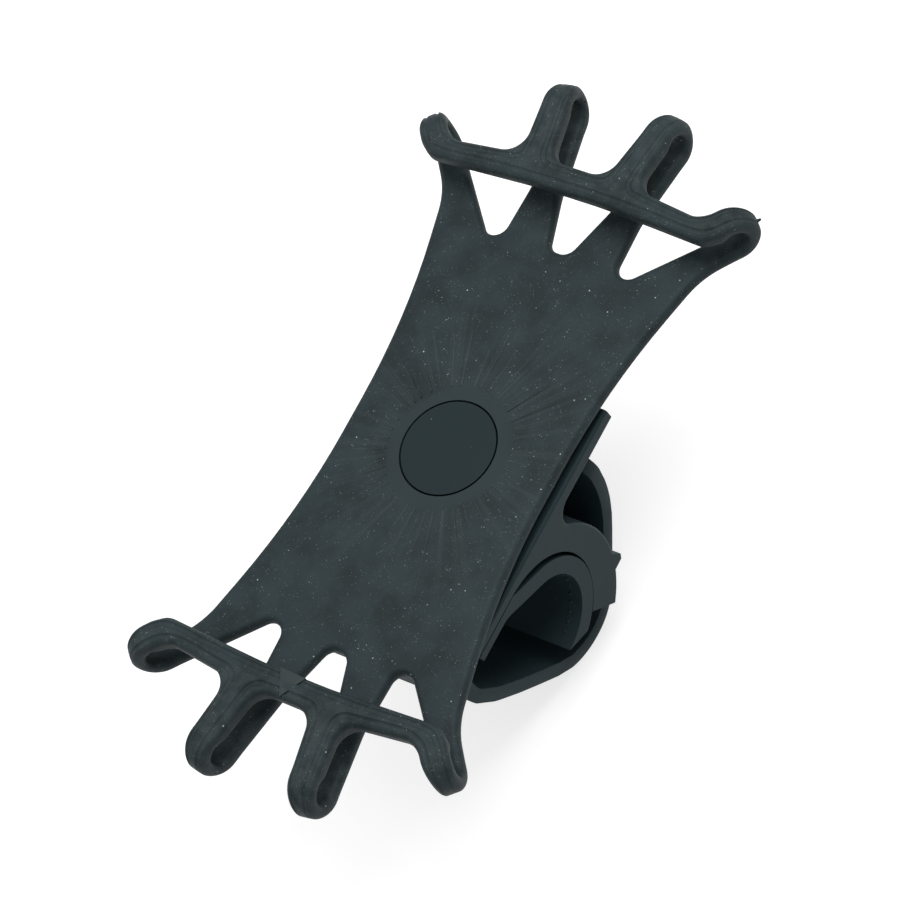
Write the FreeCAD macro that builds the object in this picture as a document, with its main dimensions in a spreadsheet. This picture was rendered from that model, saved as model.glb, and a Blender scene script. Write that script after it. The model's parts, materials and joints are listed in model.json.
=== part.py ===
import FreeCAD, Part
import math
import os
import Sketcher
from FreeCAD import Vector

# Bike phone holder: a silicone cradle on a turntable, over a strapped handlebar bracket.
# Origin on the handlebar axis, +X along the handlebar, +Y along the phone, +Z towards the phone.

doc = FreeCAD.newDocument("bike_phone_holder")
sizes = doc.addObject("Spreadsheet::Sheet", "Sizes")

DIMENSIONS = [
    # Where the cradle stands over the handlebar
    ("swivel_offset", 20.2, "swivel axis ahead of the handlebar axis"),
    ("deck_height", 24.4, "top of the silicone sheet above the handlebar axis"),
    # Silicone cradle
    ("sheet_thick", 3.0, "thickness of the sheet and of the loops' bends"),
    ("loop_gap", 5.5, "inside height of a loop's bend"),
    ("bar_thick", 4.0, "thickness of the cross bars and of the loops' upper runs"),
    ("edge_round", 1.4, "moulded rounding along every edge of the cradle"),
    ("waist_half", 24.1, "half width at the waist"),
    ("waist_bend", 22.0, "where the waist starts to flare"),
    ("waist_radius", 150.0, "radius of the waist's curve"),
    ("shoulder_half", 31.0, "half width where the outer arms start"),
    ("shoulder_reach", 50.0, "distance of the shoulders from the swivel axis"),
    ("shoulder_radius", 18.0, "radius from the side into the outer arm"),
    ("outer_tip_x", 34.8, "middle of the outer loop's bend, across"),
    ("outer_tip_y", 58.8, "middle of the outer loop's bend, along"),
    ("outer_splay", 41.8, "angle of the outer loop from the long axis"),
    ("outer_half", 2.9, "half width of the outer loop's bend"),
    ("inner_tip_x", 12.2, "middle of the inner loop's bend, across"),
    ("inner_tip_y", 72.4, "middle of the inner loop's bend, along"),
    ("inner_splay", 9.1, "angle of the inner loop from the long axis"),
    ("inner_half", 3.1, "half width of the inner loop's bend"),
    ("loop_neck", 2.0, "straight end of a loop before its bend"),
    ("neck_radius", 6.0, "radius where a loop's sides turn straight"),
    ("window_round", 2.7, "rounding at the root of the windows"),
    ("side_root_x", 13.7, "corner of the side window, across"),
    ("side_root_y", 40.9, "corner of the side window, along"),
    ("middle_root_x", 2.3, "half width of the middle window's root"),
    ("middle_root_y", 45.4, "root of the middle window"),
    ("arm_waist_y", 57.0, "narrowest place of the inner arms"),
    ("arm_waist_in", 6.0, "inner side of the inner arm there"),
    ("arm_waist_out", 13.2, "outer side of the inner arm there"),
    ("arm_waist_radius", 25.0, "radius of the inner arm's sides"),
    # Cross bars
    ("bar_middle_in", 54.6, "inner side of the cross bar at its middle"),
    ("bar_middle_out", 60.2, "outer side of the cross bar at its middle"),
    ("bar_flat", 8.0, "half length of the bar's straight middle"),
    ("bar_bow_radius", 80.0, "radius where the bar starts to bow"),
    ("bar_elbow_x", 32.6, "inner corner of the bar's end, across"),
    ("bar_elbow_y", 53.3, "inner corner of the bar's end, along"),
    ("bar_crook_x", 28.6, "outer corner of the bar's end, across"),
    ("bar_crook_y", 58.2, "outer corner of the bar's end, along"),
    ("bar_elbow_round", 4.0, "rounding of the bar's ends"),
    ("crotch_in_x", 6.6, "corner of the inner loop and the bar, inside"),
    ("crotch_out_x", 13.6, "corner of the inner loop and the bar, outside"),
    ("crotch_out_y", 59.9, "bar's outer side beside the inner loop"),
    ("crotch_round", 4.5, "rounding between loop and bar"),
    # Swivel
    ("cap_radius", 10.0, "round cap"),
    ("cap_thick", 1.6, "thickness of the cap's disc"),
    ("cap_gap", 0.4, "gap between cap and sheet all round"),
    ("collar_radius", 7.3, "outside of the cap's collar"),
    ("collar_wall", 0.8, "wall of the cap's collar"),
    ("lip_gap", 0.1, "room above and below the sheet's clamped lip"),
    ("table_radius", 17.0, "turntable"),
    ("table_thick", 2.7, "thickness of the turntable"),
    ("table_gap", 0.6, "gap between turntable and recess at the rim"),
    ("table_floor", 1.1, "floor of the turntable round the pivot"),
    ("swivel_play", 0.15, "play between parts that turn on each other"),
    ("pivot_radius", 3.9, "pivot boss of the bracket"),
    ("pivot_gap", 0.3, "gap between pivot boss and turntable"),
    ("pivot_rise", 0.15, "pivot boss above the turntable's floor"),
    ("washer_radius", 5.9, "retaining washer"),
    ("washer_thick", 0.8, "thickness of the retaining washer"),
    ("wave_thick", 0.3, "thickness of the wave washer, pressed flat"),
    ("wave_radius", 5.7, "outside of the wave washer"),
    ("screw_radius", 1.75, "shank of the pivot screw"),
    ("screw_length", 8.0, "shank of the pivot screw, under its head"),
    ("head_radius", 3.4, "head of the pivot screw"),
    ("head_thick", 1.4, "height of the screw's head"),
    ("hole_gap", 0.25, "gap between a shank and a clearance hole"),
    ("thread_gap", 0.05, "gap between the screw and its boss"),
    # Bracket
    ("bracket_width", 49.4, "width of plate and jaw along the handlebar"),
    ("plate_thick", 3.3, "thickness of the plate"),
    ("plate_gap", 1.5, "plate below the underside of the sheet"),
    ("plate_front", 39.5, "front end of the plate"),
    ("jaw_radius", 16.8, "inside of the jaw"),
    ("bore_back", 1.6, "centre of the jaw's inside behind the handlebar axis"),
    ("bore_rise", 0.8, "centre of the jaw's inside above the handlebar axis"),
    ("jaw_wall", 5.4, "wall of the jaw"),
    ("jaw_drop", 1.7, "how far the jaw's outside sits below the bore, for a thicker lower end"),
    ("jaw_end", 51.0, "angle of the jaw's end below level"),
    ("jaw_fillet", 3.6, "fillet between jaw and plate"),
    ("bracket_round", 0.7, "rounding along the sides of plate and jaw"),
    ("heel_front", -14.7, "front wall of the heel that holds the strap"),
    ("heel_back", -22.6, "back wall of the heel"),
    ("heel_foot", 10.0, "underside of the heel"),
    ("heel_half", 20.3, "half width of the heel"),
    ("screw_boss_radius", 4.5, "screw boss under the plate"),
    ("screw_boss_drop", 5.5, "length of the screw boss"),
    ("cheek_width", 3.8, "width of a strap guide at the jaw's edge"),
    ("cheek_rise", 2.5, "height of a strap guide"),
    ("cheek_top", 17.0, "upper end of a strap guide, angle below level"),
    ("cheek_crest", 25.5, "upper corner of a guide's crest, angle below level"),
    ("cheek_tip", 28.5, "lower corner of a guide's crest, angle below level"),
    ("cheek_foot", 35.0, "lower end of a strap guide, angle below level"),
    ("tooth_half", 3.2, "half width of the strap's hook tooth"),
    ("tooth_rise", 7.2, "height of the hook tooth"),
    ("tooth_thick", 3.0, "thickness of the hook tooth"),
    ("tooth_lean", -0.3, "lean of the hook tooth towards the strap's tail"),
    # Rubber liner
    ("bar_radius", 11.2, "bore of the liner, for a 22.2 mm handlebar"),
    ("liner_wall", 3.7, "wall of the liner round the handlebar"),
    ("liner_gap", 0.3, "gap between the liner's leg and the bracket"),
    ("liner_end", 88.0, "angle of the liner's tapered tip below level"),
    ("liner_taper", 66.0, "angle where the taper starts on the outside"),
    ("leg_start", 65.0, "angle above level where the leg leaves the ring"),
    ("leg_heel", 1.0, "where the leg's upper side meets the plate, behind the handlebar axis"),
    ("leg_sole", 5.0, "where the leg's lower side turns level, behind the handlebar axis"),
    ("leg_thick", 1.9, "thickness of the leg under the plate"),
    ("leg_round", 5.0, "rounding where the leg turns level"),
    # Rubber strap
    ("strap_half", 20.3, "half width of the strap"),
    ("strap_thick", 3.0, "thickness of the strap"),
    ("tail_y", 31.2, "tail of the strap, ahead of the handlebar axis"),
    ("tail_top", 12.6, "end of the tail"),
    ("tail_bend", -2.0, "height where the tail turns in"),
    ("tail_bend_radius", 9.0, "radius of the tail's bend"),
    ("sole_y", 10.4, "lowest corner of the strap, along"),
    ("sole_z", -29.5, "lowest corner of the strap, height"),
    ("sole_radius", 10.0, "radius of the strap's lowest bend"),
    ("chord_y", -15.0, "strap behind the handlebar, along"),
    ("chord_z", -3.2, "strap behind the handlebar, height"),
    ("chord_radius", 12.0, "radius of the strap's bend there"),
    ("anchor_y", -19.0, "bead at the strap's fixed end, along"),
    ("anchor_z", 14.2, "bead at the strap's fixed end, height"),
    ("anchor_bend", 4.5, "height where the strap turns up into the heel"),
    ("anchor_radius", 5.0, "radius of that turn"),
    ("bead_radius", 2.2, "bead at the strap's fixed end"),
    ("bead_gap", 0.3, "gap round bead and strap in the heel"),
    ("slot_gap", 0.5, "gap between hook tooth and slot at each side"),
    ("slot_room", 1.2, "room in a slot above and below the hook tooth"),
    ("slot_pitch", 8.5, "distance between slots"),
    ("tail_round", 8.0, "rounded corners of the tail"),
]

for row, (alias, value, note) in enumerate(DIMENSIONS, start=1):
    sizes.set("A%d" % row, note)
    sizes.set("B%d" % row, str(value))
    sizes.setAlias("B%d" % row, alias)
doc.recompute()


# Helpers for sketches whose corners are bound to the sheet

def number(expression):
    value = sizes.evalExpression(expression)
    return float(getattr(value, "Value", value))


def bind(sketch, constraint, expression):
    index = sketch.addConstraint(constraint)
    sketch.setExpression("Constraints[%d]" % index, expression)


def pin_point(sketch, geometry, position, x_text, y_text):
    """Hold a point at two distances from the sketch's origin."""
    axes = (("DistanceX", x_text, -2), ("DistanceY", y_text, -1))
    for kind, text, axis in axes:
        value = number(text)
        if abs(value) < 1e-9:
            sketch.addConstraint(Sketcher.Constraint("PointOnObject", geometry, position, axis))
        elif value > 0:
            bind(sketch, Sketcher.Constraint(kind, -1, 1, geometry, position, value), text)
        else:
            bind(sketch, Sketcher.Constraint(kind, geometry, position, -1, 1, -value), "-(%s)" % text)


def rounded_outline(sketch, corners, closed=True):
    """Straight sides through the corners, with a tangent arc at each corner that has a radius."""
    count = len(corners)
    points = [Vector(number(x), number(y), 0) for x, y, radius in corners]
    radii = [number(radius) if radius else 0.0 for x, y, radius in corners]
    marks = []
    for (x_text, y_text, radius), point in zip(corners, points):
        mark = sketch.addGeometry(Part.Point(point), True)
        pin_point(sketch, mark, 1, x_text, y_text)
        marks.append(mark)

    def trimmed(corner, other):
        """End of a side at a corner, after the corner's arc has taken its part."""
        if not radii[corner]:
            return points[corner]
        before = (points[corner - 1] - points[corner]).normalize()
        after = (points[(corner + 1) % count] - points[corner]).normalize()
        half = before.getAngle(after) / 2
        away = (points[other] - points[corner]).normalize()
        return points[corner] + away * (radii[corner] / math.tan(half))

    sides = []
    for start in range(count if closed else count - 1):
        end = (start + 1) % count
        line = Part.LineSegment(trimmed(start, end), trimmed(end, start))
        sides.append(sketch.addGeometry(line, False))
    for corner in range(count):
        if not closed and corner in (0, count - 1):
            side, position = (sides[0], 1) if corner == 0 else (sides[-1], 2)
            sketch.addConstraint(Sketcher.Constraint("Coincident", side, position, marks[corner], 1))
            continue
        incoming = sides[corner - 1]
        outgoing = sides[corner]
        if not radii[corner]:
            sketch.addConstraint(Sketcher.Constraint("Coincident", incoming, 2, marks[corner], 1))
            sketch.addConstraint(Sketcher.Constraint("Coincident", outgoing, 1, marks[corner], 1))
            continue
        add_corner_arc(sketch, points[corner], trimmed(corner, corner - 1),
                       trimmed(corner, (corner + 1) % count), incoming, outgoing,
                       marks[corner], corners[corner][2])


def add_corner_arc(sketch, point, first, last, incoming, outgoing, mark, radius_text):
    """Tangent arc between two sides whose lines cross at the point."""
    radius = number(radius_text)
    middle = (first + last) * 0.5
    inward = (middle - point).normalize()
    centre = point + inward * math.hypot((first - point).Length, radius)
    turns_left = (first - point).cross(last - point).z < 0
    angles = [math.atan2(end.y - centre.y, end.x - centre.x) for end in (first, last)]
    if not turns_left:
        angles.reverse()
    circle = Part.Circle(centre, Vector(0, 0, 1), radius)
    arc = sketch.addGeometry(Part.ArcOfCircle(circle, angles[0], angles[1]), False)
    first_end, last_end = (1, 2) if turns_left else (2, 1)
    for side in (incoming, outgoing):
        sketch.addConstraint(Sketcher.Constraint("PointOnObject", mark, 1, side))
    sketch.addConstraint(Sketcher.Constraint("Tangent", incoming, 2, arc, first_end))
    sketch.addConstraint(Sketcher.Constraint("Tangent", arc, last_end, outgoing, 1))
    bind(sketch, Sketcher.Constraint("Radius", arc, radius), radius_text)


def rectangle(sketch, left, right, low, high):
    rounded_outline(sketch, [(left, low, None), (right, low, None),
                             (right, high, None), (left, high, None)])


def circle_outline(sketch, x_text, y_text, radius_text):
    centre = Vector(number(x_text), number(y_text), 0)
    circle = sketch.addGeometry(Part.Circle(centre, Vector(0, 0, 1), number(radius_text)), False)
    pin_point(sketch, circle, 3, x_text, y_text)
    bind(sketch, Sketcher.Constraint("Radius", circle, number(radius_text)), radius_text)


def add_body(name):
    return doc.addObject("PartDesign::Body", name)


def add_sketch(body, name, role, level=None):
    """Sketch on one of the body's own planes, lifted along the plane's normal."""
    sketch = body.newObject("Sketcher::SketchObject", name)
    plane = [item for item in body.Origin.OriginFeatures if item.Role == role][0]
    sketch.AttachmentSupport = [(plane, "")]
    sketch.MapMode = "FlatFace"
    if level:
        sketch.setExpression("AttachmentOffset.Base.z", level)
    doc.recompute()
    return sketch


def add_pad(body, name, sketch, length, symmetric=False, reverse=False):
    pad = body.newObject("PartDesign::Pad", name)
    pad.Profile = sketch
    pad.SideType = "Symmetric" if symmetric else "One side"
    pad.Reversed = reverse
    pad.setExpression("Length", length)
    doc.recompute()
    return pad


def add_pocket(body, name, sketch, length, symmetric=False, reverse=False):
    before = body.Shape.Volume
    pocket = body.newObject("PartDesign::Pocket", name)
    pocket.Profile = sketch
    pocket.SideType = "Symmetric" if symmetric else "One side"
    pocket.Reversed = reverse
    pocket.setExpression("Length", length)
    doc.recompute()
    if body.Shape.Volume >= before:
        raise ValueError("%s cuts nothing" % name)
    return pocket


def add_fillet(body, name, feature, names, radius):
    fillet = body.newObject("PartDesign::Fillet", name)
    fillet.Base = (feature, names)
    fillet.setExpression("Radius", radius)
    doc.recompute()
    return fillet


def place(item, x=None, y=None, z=None):
    for axis, text in (("x", x), ("y", y), ("z", z)):
        if text:
            item.setExpression("Placement.Base.%s" % axis, text)


# Levels shared by the swivel's pieces, along Z from the handlebar axis

DECK_TOP = "Sizes.deck_height"
DECK_BOTTOM = "(Sizes.deck_height - Sizes.sheet_thick)"
CAP_BOTTOM = "(Sizes.deck_height - Sizes.cap_thick)"
PLATE_TOP = "(%s - Sizes.plate_gap)" % DECK_BOTTOM
PLATE_BOTTOM = "(%s - Sizes.plate_thick)" % PLATE_TOP
TABLE_TOP = "(%s - Sizes.lip_gap)" % DECK_BOTTOM
TABLE_BOTTOM = "(%s - Sizes.table_thick)" % TABLE_TOP
RECESS_FLOOR = "(%s - Sizes.swivel_play)" % TABLE_BOTTOM
TABLE_LEDGE = "(%s + Sizes.table_floor)" % TABLE_BOTTOM
PIVOT_TOP = "(%s + Sizes.pivot_rise + Sizes.wave_thick)" % TABLE_LEDGE
WASHER_TOP = "(%s + Sizes.washer_thick)" % PIVOT_TOP
LIP_TOP = "(%s - Sizes.lip_gap)" % CAP_BOTTOM
JAW_OUTSIDE = "(Sizes.jaw_radius + Sizes.jaw_wall)"
CEILING = "(Sizes.bore_rise + Sizes.jaw_radius)"
LINER_OUTSIDE = "(Sizes.bar_radius + Sizes.liner_wall)"
SWIVEL_Y = "Sizes.swivel_offset"


# Silicone cradle: one quarter of the sheet and of the bar layer, two loop bends, then mirrored

def tip_corner(tip, side):
    """Corner of a loop's end: the tip's middle, half a width to the right (+) or left (-)."""
    across = "Sizes.%s_tip_x %s Sizes.%s_half * cos(Sizes.%s_splay * 1 deg)"
    along = "Sizes.%s_tip_y %s Sizes.%s_half * sin(Sizes.%s_splay * 1 deg)"
    other = "-" if side == "+" else "+"
    return across % (tip, side, tip, tip), along % (tip, other, tip, tip), None


def neck_corner(tip, side):
    """Where a loop's side turns parallel to its axis, a short way before the tip."""
    x_text, y_text, radius = tip_corner(tip, side)
    return ("%s - Sizes.loop_neck * sin(Sizes.%s_splay * 1 deg)" % (x_text, tip),
            "%s - Sizes.loop_neck * cos(Sizes.%s_splay * 1 deg)" % (y_text, tip), "Sizes.neck_radius")


def loop_end(tip):
    """Both sides and the end face of a loop, from its right side round to its left."""
    return [neck_corner(tip, "+"), tip_corner(tip, "+"), tip_corner(tip, "-"), neck_corner(tip, "-")]


def round_edges(body, name, pad):
    """Round the upper and lower edges of a quarter, but not where it goes on past a joint face."""
    tips = [(number("Sizes.%s_tip_x" % tip), number("Sizes.%s_tip_y" % tip)) for tip in ("outer", "inner")]
    names = []
    for index, edge in enumerate(pad.Shape.Edges, start=1):
        middle = edge.valueAt((edge.FirstParameter + edge.LastParameter) / 2)
        upright = edge.BoundBox.ZLength > 0.01
        on_mirror = abs(middle.x) < 0.01 or abs(middle.y) < 0.01
        on_tip = any(math.hypot(middle.x - x, middle.y - y) < 0.01 for x, y in tips)
        if not (upright or on_mirror or on_tip):
            names.append("Edge%d" % index)
    add_fillet(body, name, pad, names, "Sizes.edge_round")


def make_sheet_quarter():
    body = add_body("sheet_quarter")
    sketch = add_sketch(body, "sheet_outline", "XY_Plane")
    rounded_outline(sketch, [
        ("0", "0", None),
        ("Sizes.waist_half", "0", None),
        ("Sizes.waist_half", "Sizes.waist_bend", "Sizes.waist_radius"),
        ("Sizes.shoulder_half", "Sizes.shoulder_reach", "Sizes.shoulder_radius"),
        *loop_end("outer"),
        ("Sizes.side_root_x", "Sizes.side_root_y", "Sizes.window_round"),
        ("Sizes.arm_waist_out", "Sizes.arm_waist_y", "Sizes.arm_waist_radius"),
        *loop_end("inner"),
        ("Sizes.arm_waist_in", "Sizes.arm_waist_y", "Sizes.arm_waist_radius"),
        ("Sizes.middle_root_x", "Sizes.middle_root_y", "Sizes.window_round"),
        ("0", "Sizes.middle_root_y", None),
    ])
    pad = add_pad(body, "sheet_pad", sketch, "Sizes.sheet_thick")
    round_edges(body, "sheet_round", pad)
    place(body, y=SWIVEL_Y, z=DECK_BOTTOM)
    return body


def make_bar_quarter():
    body = add_body("bar_quarter")
    sketch = add_sketch(body, "bar_outline", "XY_Plane")
    rounded_outline(sketch, [
        ("0", "Sizes.bar_middle_in", None),
        ("Sizes.bar_flat", "Sizes.bar_middle_in", "Sizes.bar_bow_radius"),
        ("Sizes.bar_elbow_x", "Sizes.bar_elbow_y", "Sizes.bar_elbow_round"),
        *loop_end("outer"),
        ("Sizes.bar_crook_x", "Sizes.bar_crook_y", "Sizes.bar_elbow_round"),
        ("Sizes.crotch_out_x", "Sizes.crotch_out_y", "Sizes.crotch_round"),
        *loop_end("inner"),
        ("Sizes.crotch_in_x", "Sizes.bar_middle_out", "Sizes.crotch_round"),
        ("0", "Sizes.bar_middle_out", None),
    ])
    pad = add_pad(body, "bar_pad", sketch, "Sizes.bar_thick")
    round_edges(body, "bar_round", pad)
    place(body, y=SWIVEL_Y, z="%s + Sizes.loop_gap + Sizes.sheet_thick - Sizes.bar_thick" % DECK_TOP)
    return body


def make_loop_bend(tip):
    """Half ring that carries a loop from the sheet up to the bar."""
    body = add_body("%s_bend" % tip)
    sketch = add_sketch(body, "%s_bend_profile" % tip, "YZ_Plane")
    circle_outline(sketch, "0", "0", "Sizes.loop_gap / 2 + Sizes.sheet_thick")
    circle_outline(sketch, "0", "0", "Sizes.loop_gap / 2")
    add_pad(body, "%s_bend_pad" % tip, sketch, "2 * Sizes.%s_half" % tip, symmetric=True)
    half = add_sketch(body, "%s_bend_half" % tip, "YZ_Plane")
    reach = "(Sizes.loop_gap + Sizes.sheet_thick)"
    rectangle(half, "-%s" % reach, "0", "-%s" % reach, reach)
    cut = add_pocket(body, "%s_bend_cut" % tip, half, "4 * Sizes.%s_half" % tip, symmetric=True)
    arcs = ["Edge%d" % index for index, edge in enumerate(cut.Shape.Edges, start=1)
            if edge.Curve.TypeId == "Part::GeomCircle"]
    add_fillet(body, "%s_bend_round" % tip, cut, arcs, "Sizes.edge_round")
    body.Placement.Rotation = FreeCAD.Rotation(Vector(0, 0, -1), 10)
    body.setExpression("Placement.Rotation.Angle", "Sizes.%s_splay * 1 deg" % tip)
    place(body, "Sizes.%s_tip_x" % tip, "%s + Sizes.%s_tip_y" % (SWIVEL_Y, tip),
          "%s + Sizes.loop_gap / 2" % DECK_TOP)
    return body


def mirrored(source, name, normal):
    """The source and its mirror image in a plane through the swivel axis, as one solid."""
    image = doc.addObject("Part::Mirroring", name + "_image")
    image.Source = source
    image.Normal = normal
    image.setExpression("Base.y", SWIVEL_Y)
    both = doc.addObject("Part::MultiFuse", name)
    both.Shapes = [source, image]
    both.Refine = True
    doc.recompute()
    return both


def add_cylinder(name, radius, height, bottom, y=SWIVEL_Y):
    cylinder = doc.addObject("Part::Cylinder", name)
    cylinder.setExpression("Radius", radius)
    cylinder.setExpression("Height", height)
    place(cylinder, y=y, z=bottom)
    return cylinder


def fused(name, shapes):
    whole = doc.addObject("Part::MultiFuse", name)
    whole.Shapes = shapes
    whole.Refine = True
    doc.recompute()
    return whole


def cut_from(name, base, tool):
    result = doc.addObject("Part::Cut", name)
    result.Base = base
    result.Tool = tool
    doc.recompute()
    return result


def make_cradle():
    quarter = fused("cradle_quarter", [make_sheet_quarter(), make_bar_quarter(),
                                       make_loop_bend("outer"), make_loop_bend("inner")])
    half = mirrored(quarter, "cradle_half", Vector(1, 0, 0))
    whole = mirrored(half, "cradle_whole", Vector(0, 1, 0))
    seat = add_cylinder("cap_seat", "Sizes.cap_radius + Sizes.cap_gap",
                        "Sizes.sheet_thick", LIP_TOP)
    throat = add_cylinder("cap_throat", "Sizes.collar_radius + Sizes.cap_gap",
                          "3 * Sizes.sheet_thick", "%s - Sizes.sheet_thick" % DECK_BOTTOM)
    return cut_from("cradle", whole, fused("cap_hole", [seat, throat]))


# Swivel pieces

def make_centre_cap():
    disc = add_cylinder("cap_disc", "Sizes.cap_radius", "Sizes.cap_thick", CAP_BOTTOM)
    collar = add_cylinder("cap_collar", "Sizes.collar_radius",
                          "%s - %s + Sizes.cap_thick / 2" % (CAP_BOTTOM, TABLE_TOP), TABLE_TOP)
    hollow = add_cylinder("cap_hollow", "Sizes.collar_radius - Sizes.collar_wall",
                          "%s - %s" % (CAP_BOTTOM, TABLE_TOP), TABLE_TOP)
    return cut_from("centre_cap", fused("cap_solid", [disc, collar]), hollow)


def make_turntable():
    disc = add_cylinder("table_disc", "Sizes.table_radius", "Sizes.table_thick", TABLE_BOTTOM)
    well = add_cylinder("table_well", "Sizes.collar_radius - Sizes.collar_wall",
                        "Sizes.table_thick", TABLE_LEDGE)
    bore = add_cylinder("table_bore", "Sizes.pivot_radius + Sizes.pivot_gap",
                        "2 * Sizes.table_thick", "%s - Sizes.table_thick / 2" % TABLE_BOTTOM)
    return cut_from("turntable", disc, fused("table_cuts", [well, bore]))


def make_ring(name, outside, inside, height, bottom):
    disc = add_cylinder(name + "_disc", outside, height, bottom)
    hole = add_cylinder(name + "_hole", inside, "3 * (%s)" % height, "%s - (%s)" % (bottom, height))
    return cut_from(name, disc, hole)


def make_washers():
    play = "Sizes.pivot_rise / 2"
    wave = make_ring("wave_washer", "Sizes.wave_radius", "Sizes.pivot_radius + Sizes.pivot_gap",
                     "Sizes.wave_thick", "%s + %s" % (TABLE_LEDGE, play))
    flat = make_ring("retaining_washer", "Sizes.washer_radius",
                     "Sizes.screw_radius + Sizes.hole_gap", "Sizes.washer_thick", PIVOT_TOP)
    return [wave, flat]


def make_pivot_screw():
    head = add_cylinder("screw_head", "Sizes.head_radius", "Sizes.head_thick", WASHER_TOP)
    shank = add_cylinder("screw_shank", "Sizes.screw_radius",
                         "Sizes.screw_length + Sizes.head_thick / 2",
                         "%s - Sizes.screw_length" % WASHER_TOP)
    return fused("pivot_screw", [head, shank])


# Straight run of the strap down the outside of the jaw: its length, direction and outward normal

RUN_Y = "(Sizes.sole_y - Sizes.tail_y)"
RUN_Z = "(Sizes.sole_z - Sizes.tail_bend)"
RUN = "sqrt(%s ^ 2 + %s ^ 2)" % (RUN_Y, RUN_Z)


def on_strap(out, along):
    """Corner measured outwards from the handlebar axis and along the strap's straight run."""
    y_text = "(%s * %s - %s * %s) / %s" % (RUN_Y, along, RUN_Z, out, RUN)
    z_text = "(%s * %s + %s * %s) / %s" % (RUN_Z, along, RUN_Y, out, RUN)
    return y_text, z_text, None


# Bracket: plate, hooked jaw and the heel that holds the strap

def polar(radius, angle):
    """Corner at an angle below level, ahead of the handlebar axis."""
    return ("%s * cos(%s * 1 deg)" % (radius, angle), "-%s * sin(%s * 1 deg)" % (radius, angle), None)


def make_bracket():
    body = add_body("bracket")
    ring = add_sketch(body, "jaw_outside", "YZ_Plane")
    circle_outline(ring, "0", "-Sizes.jaw_drop", JAW_OUTSIDE)
    add_pad(body, "jaw_pad", ring, "Sizes.bracket_width", symmetric=True)
    bar = add_sketch(body, "plate_outline", "YZ_Plane")
    stock = "(%s + Sizes.plate_thick)" % PLATE_TOP
    rectangle(bar, "Sizes.heel_back", "Sizes.plate_front", PLATE_BOTTOM, stock)
    add_pad(body, "plate_pad", bar, "Sizes.bracket_width", symmetric=True)
    top = add_sketch(body, "top_trim", "YZ_Plane")
    reach = "(Sizes.plate_front + %s)" % JAW_OUTSIDE
    rectangle(top, "-%s" % reach, reach, PLATE_TOP, "%s + %s" % (stock, JAW_OUTSIDE))
    add_pocket(body, "top_cut", top, "2 * Sizes.bracket_width", symmetric=True)
    add_bore(body)
    add_jaw_fillet(body)
    round_sides(body)
    add_guides(body)
    add_anchor_slot(body)
    add_pivot(body)
    return body


def add_bore(body):
    """Jaw's bore, its flat ceiling towards the heel, and the open side for the handlebar."""
    bore = add_sketch(body, "bore_outline", "YZ_Plane")
    circle_outline(bore, "-Sizes.bore_back", "Sizes.bore_rise", "Sizes.jaw_radius")
    add_pocket(body, "bore_cut", bore, "2 * Sizes.bracket_width", symmetric=True)
    mouth = add_sketch(body, "mouth_outline", "YZ_Plane")
    rounded_outline(mouth, [
        ("0", "0", None),
        ("-Sizes.bore_back", CEILING, None),
        ("-2 * %s" % JAW_OUTSIDE, CEILING, None),
        ("-2 * %s" % JAW_OUTSIDE, "-2 * %s" % JAW_OUTSIDE, None),
        polar("3 * %s" % JAW_OUTSIDE, "Sizes.jaw_end"),
    ])
    add_pocket(body, "mouth_cut", mouth, "2 * Sizes.bracket_width", symmetric=True)


def add_guides(body):
    """Pointed strap guides at both edges of the jaw, and the hook tooth in its middle."""
    root = "(%s - Sizes.jaw_wall / 4)" % JAW_OUTSIDE
    for side, level in (("left", "-Sizes.bracket_width / 2"),
                        ("right", "Sizes.bracket_width / 2 - Sizes.cheek_width")):
        guide = add_sketch(body, side + "_guide", "YZ_Plane", level)
        rounded_outline(guide, [
            polar(root, "Sizes.cheek_top"),
            polar("(%s + Sizes.cheek_rise)" % JAW_OUTSIDE, "Sizes.cheek_crest"),
            polar("(%s + Sizes.cheek_rise)" % JAW_OUTSIDE, "Sizes.cheek_tip"),
            polar(root, "Sizes.cheek_foot"),
        ])
        add_pad(body, side + "_guide_pad", guide, "Sizes.cheek_width")
    tooth = add_sketch(body, "tooth_outline", "YZ_Plane")
    crown = "(%s + Sizes.tooth_rise)" % JAW_OUTSIDE
    half = "(Sizes.tooth_thick / 2)"
    rounded_outline(tooth, [
        on_strap(root, "-%s" % half),
        on_strap(root, half),
        on_strap(crown, "Sizes.tooth_lean"),
        on_strap(crown, "(Sizes.tooth_lean - %s)" % half),
    ])
    add_pad(body, "tooth_pad", tooth, "2 * Sizes.tooth_half", symmetric=True)


def add_anchor_slot(body):
    """Heel under the back of the plate, with a round hole and a slot for the strap's bead."""
    heel = add_sketch(body, "heel_outline", "YZ_Plane")
    rectangle(heel, "Sizes.heel_back", "Sizes.heel_front", "Sizes.heel_foot", PLATE_TOP)
    add_pad(body, "heel_pad", heel, "2 * Sizes.heel_half", symmetric=True)
    hole = add_sketch(body, "bead_hole", "YZ_Plane")
    circle_outline(hole, "Sizes.anchor_y", "Sizes.anchor_z", "Sizes.bead_radius + Sizes.bead_gap")
    add_pocket(body, "bead_cut", hole, "2 * Sizes.bracket_width", symmetric=True)
    slot = add_sketch(body, "anchor_slot", "YZ_Plane")
    half = "(Sizes.strap_thick / 2 + Sizes.bead_gap)"
    rectangle(slot, "Sizes.anchor_y - %s" % half, "Sizes.anchor_y + %s" % half,
              "Sizes.heel_foot - Sizes.strap_thick", "Sizes.anchor_z")
    add_pocket(body, "slot_cut", slot, "2 * Sizes.bracket_width", symmetric=True)


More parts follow.
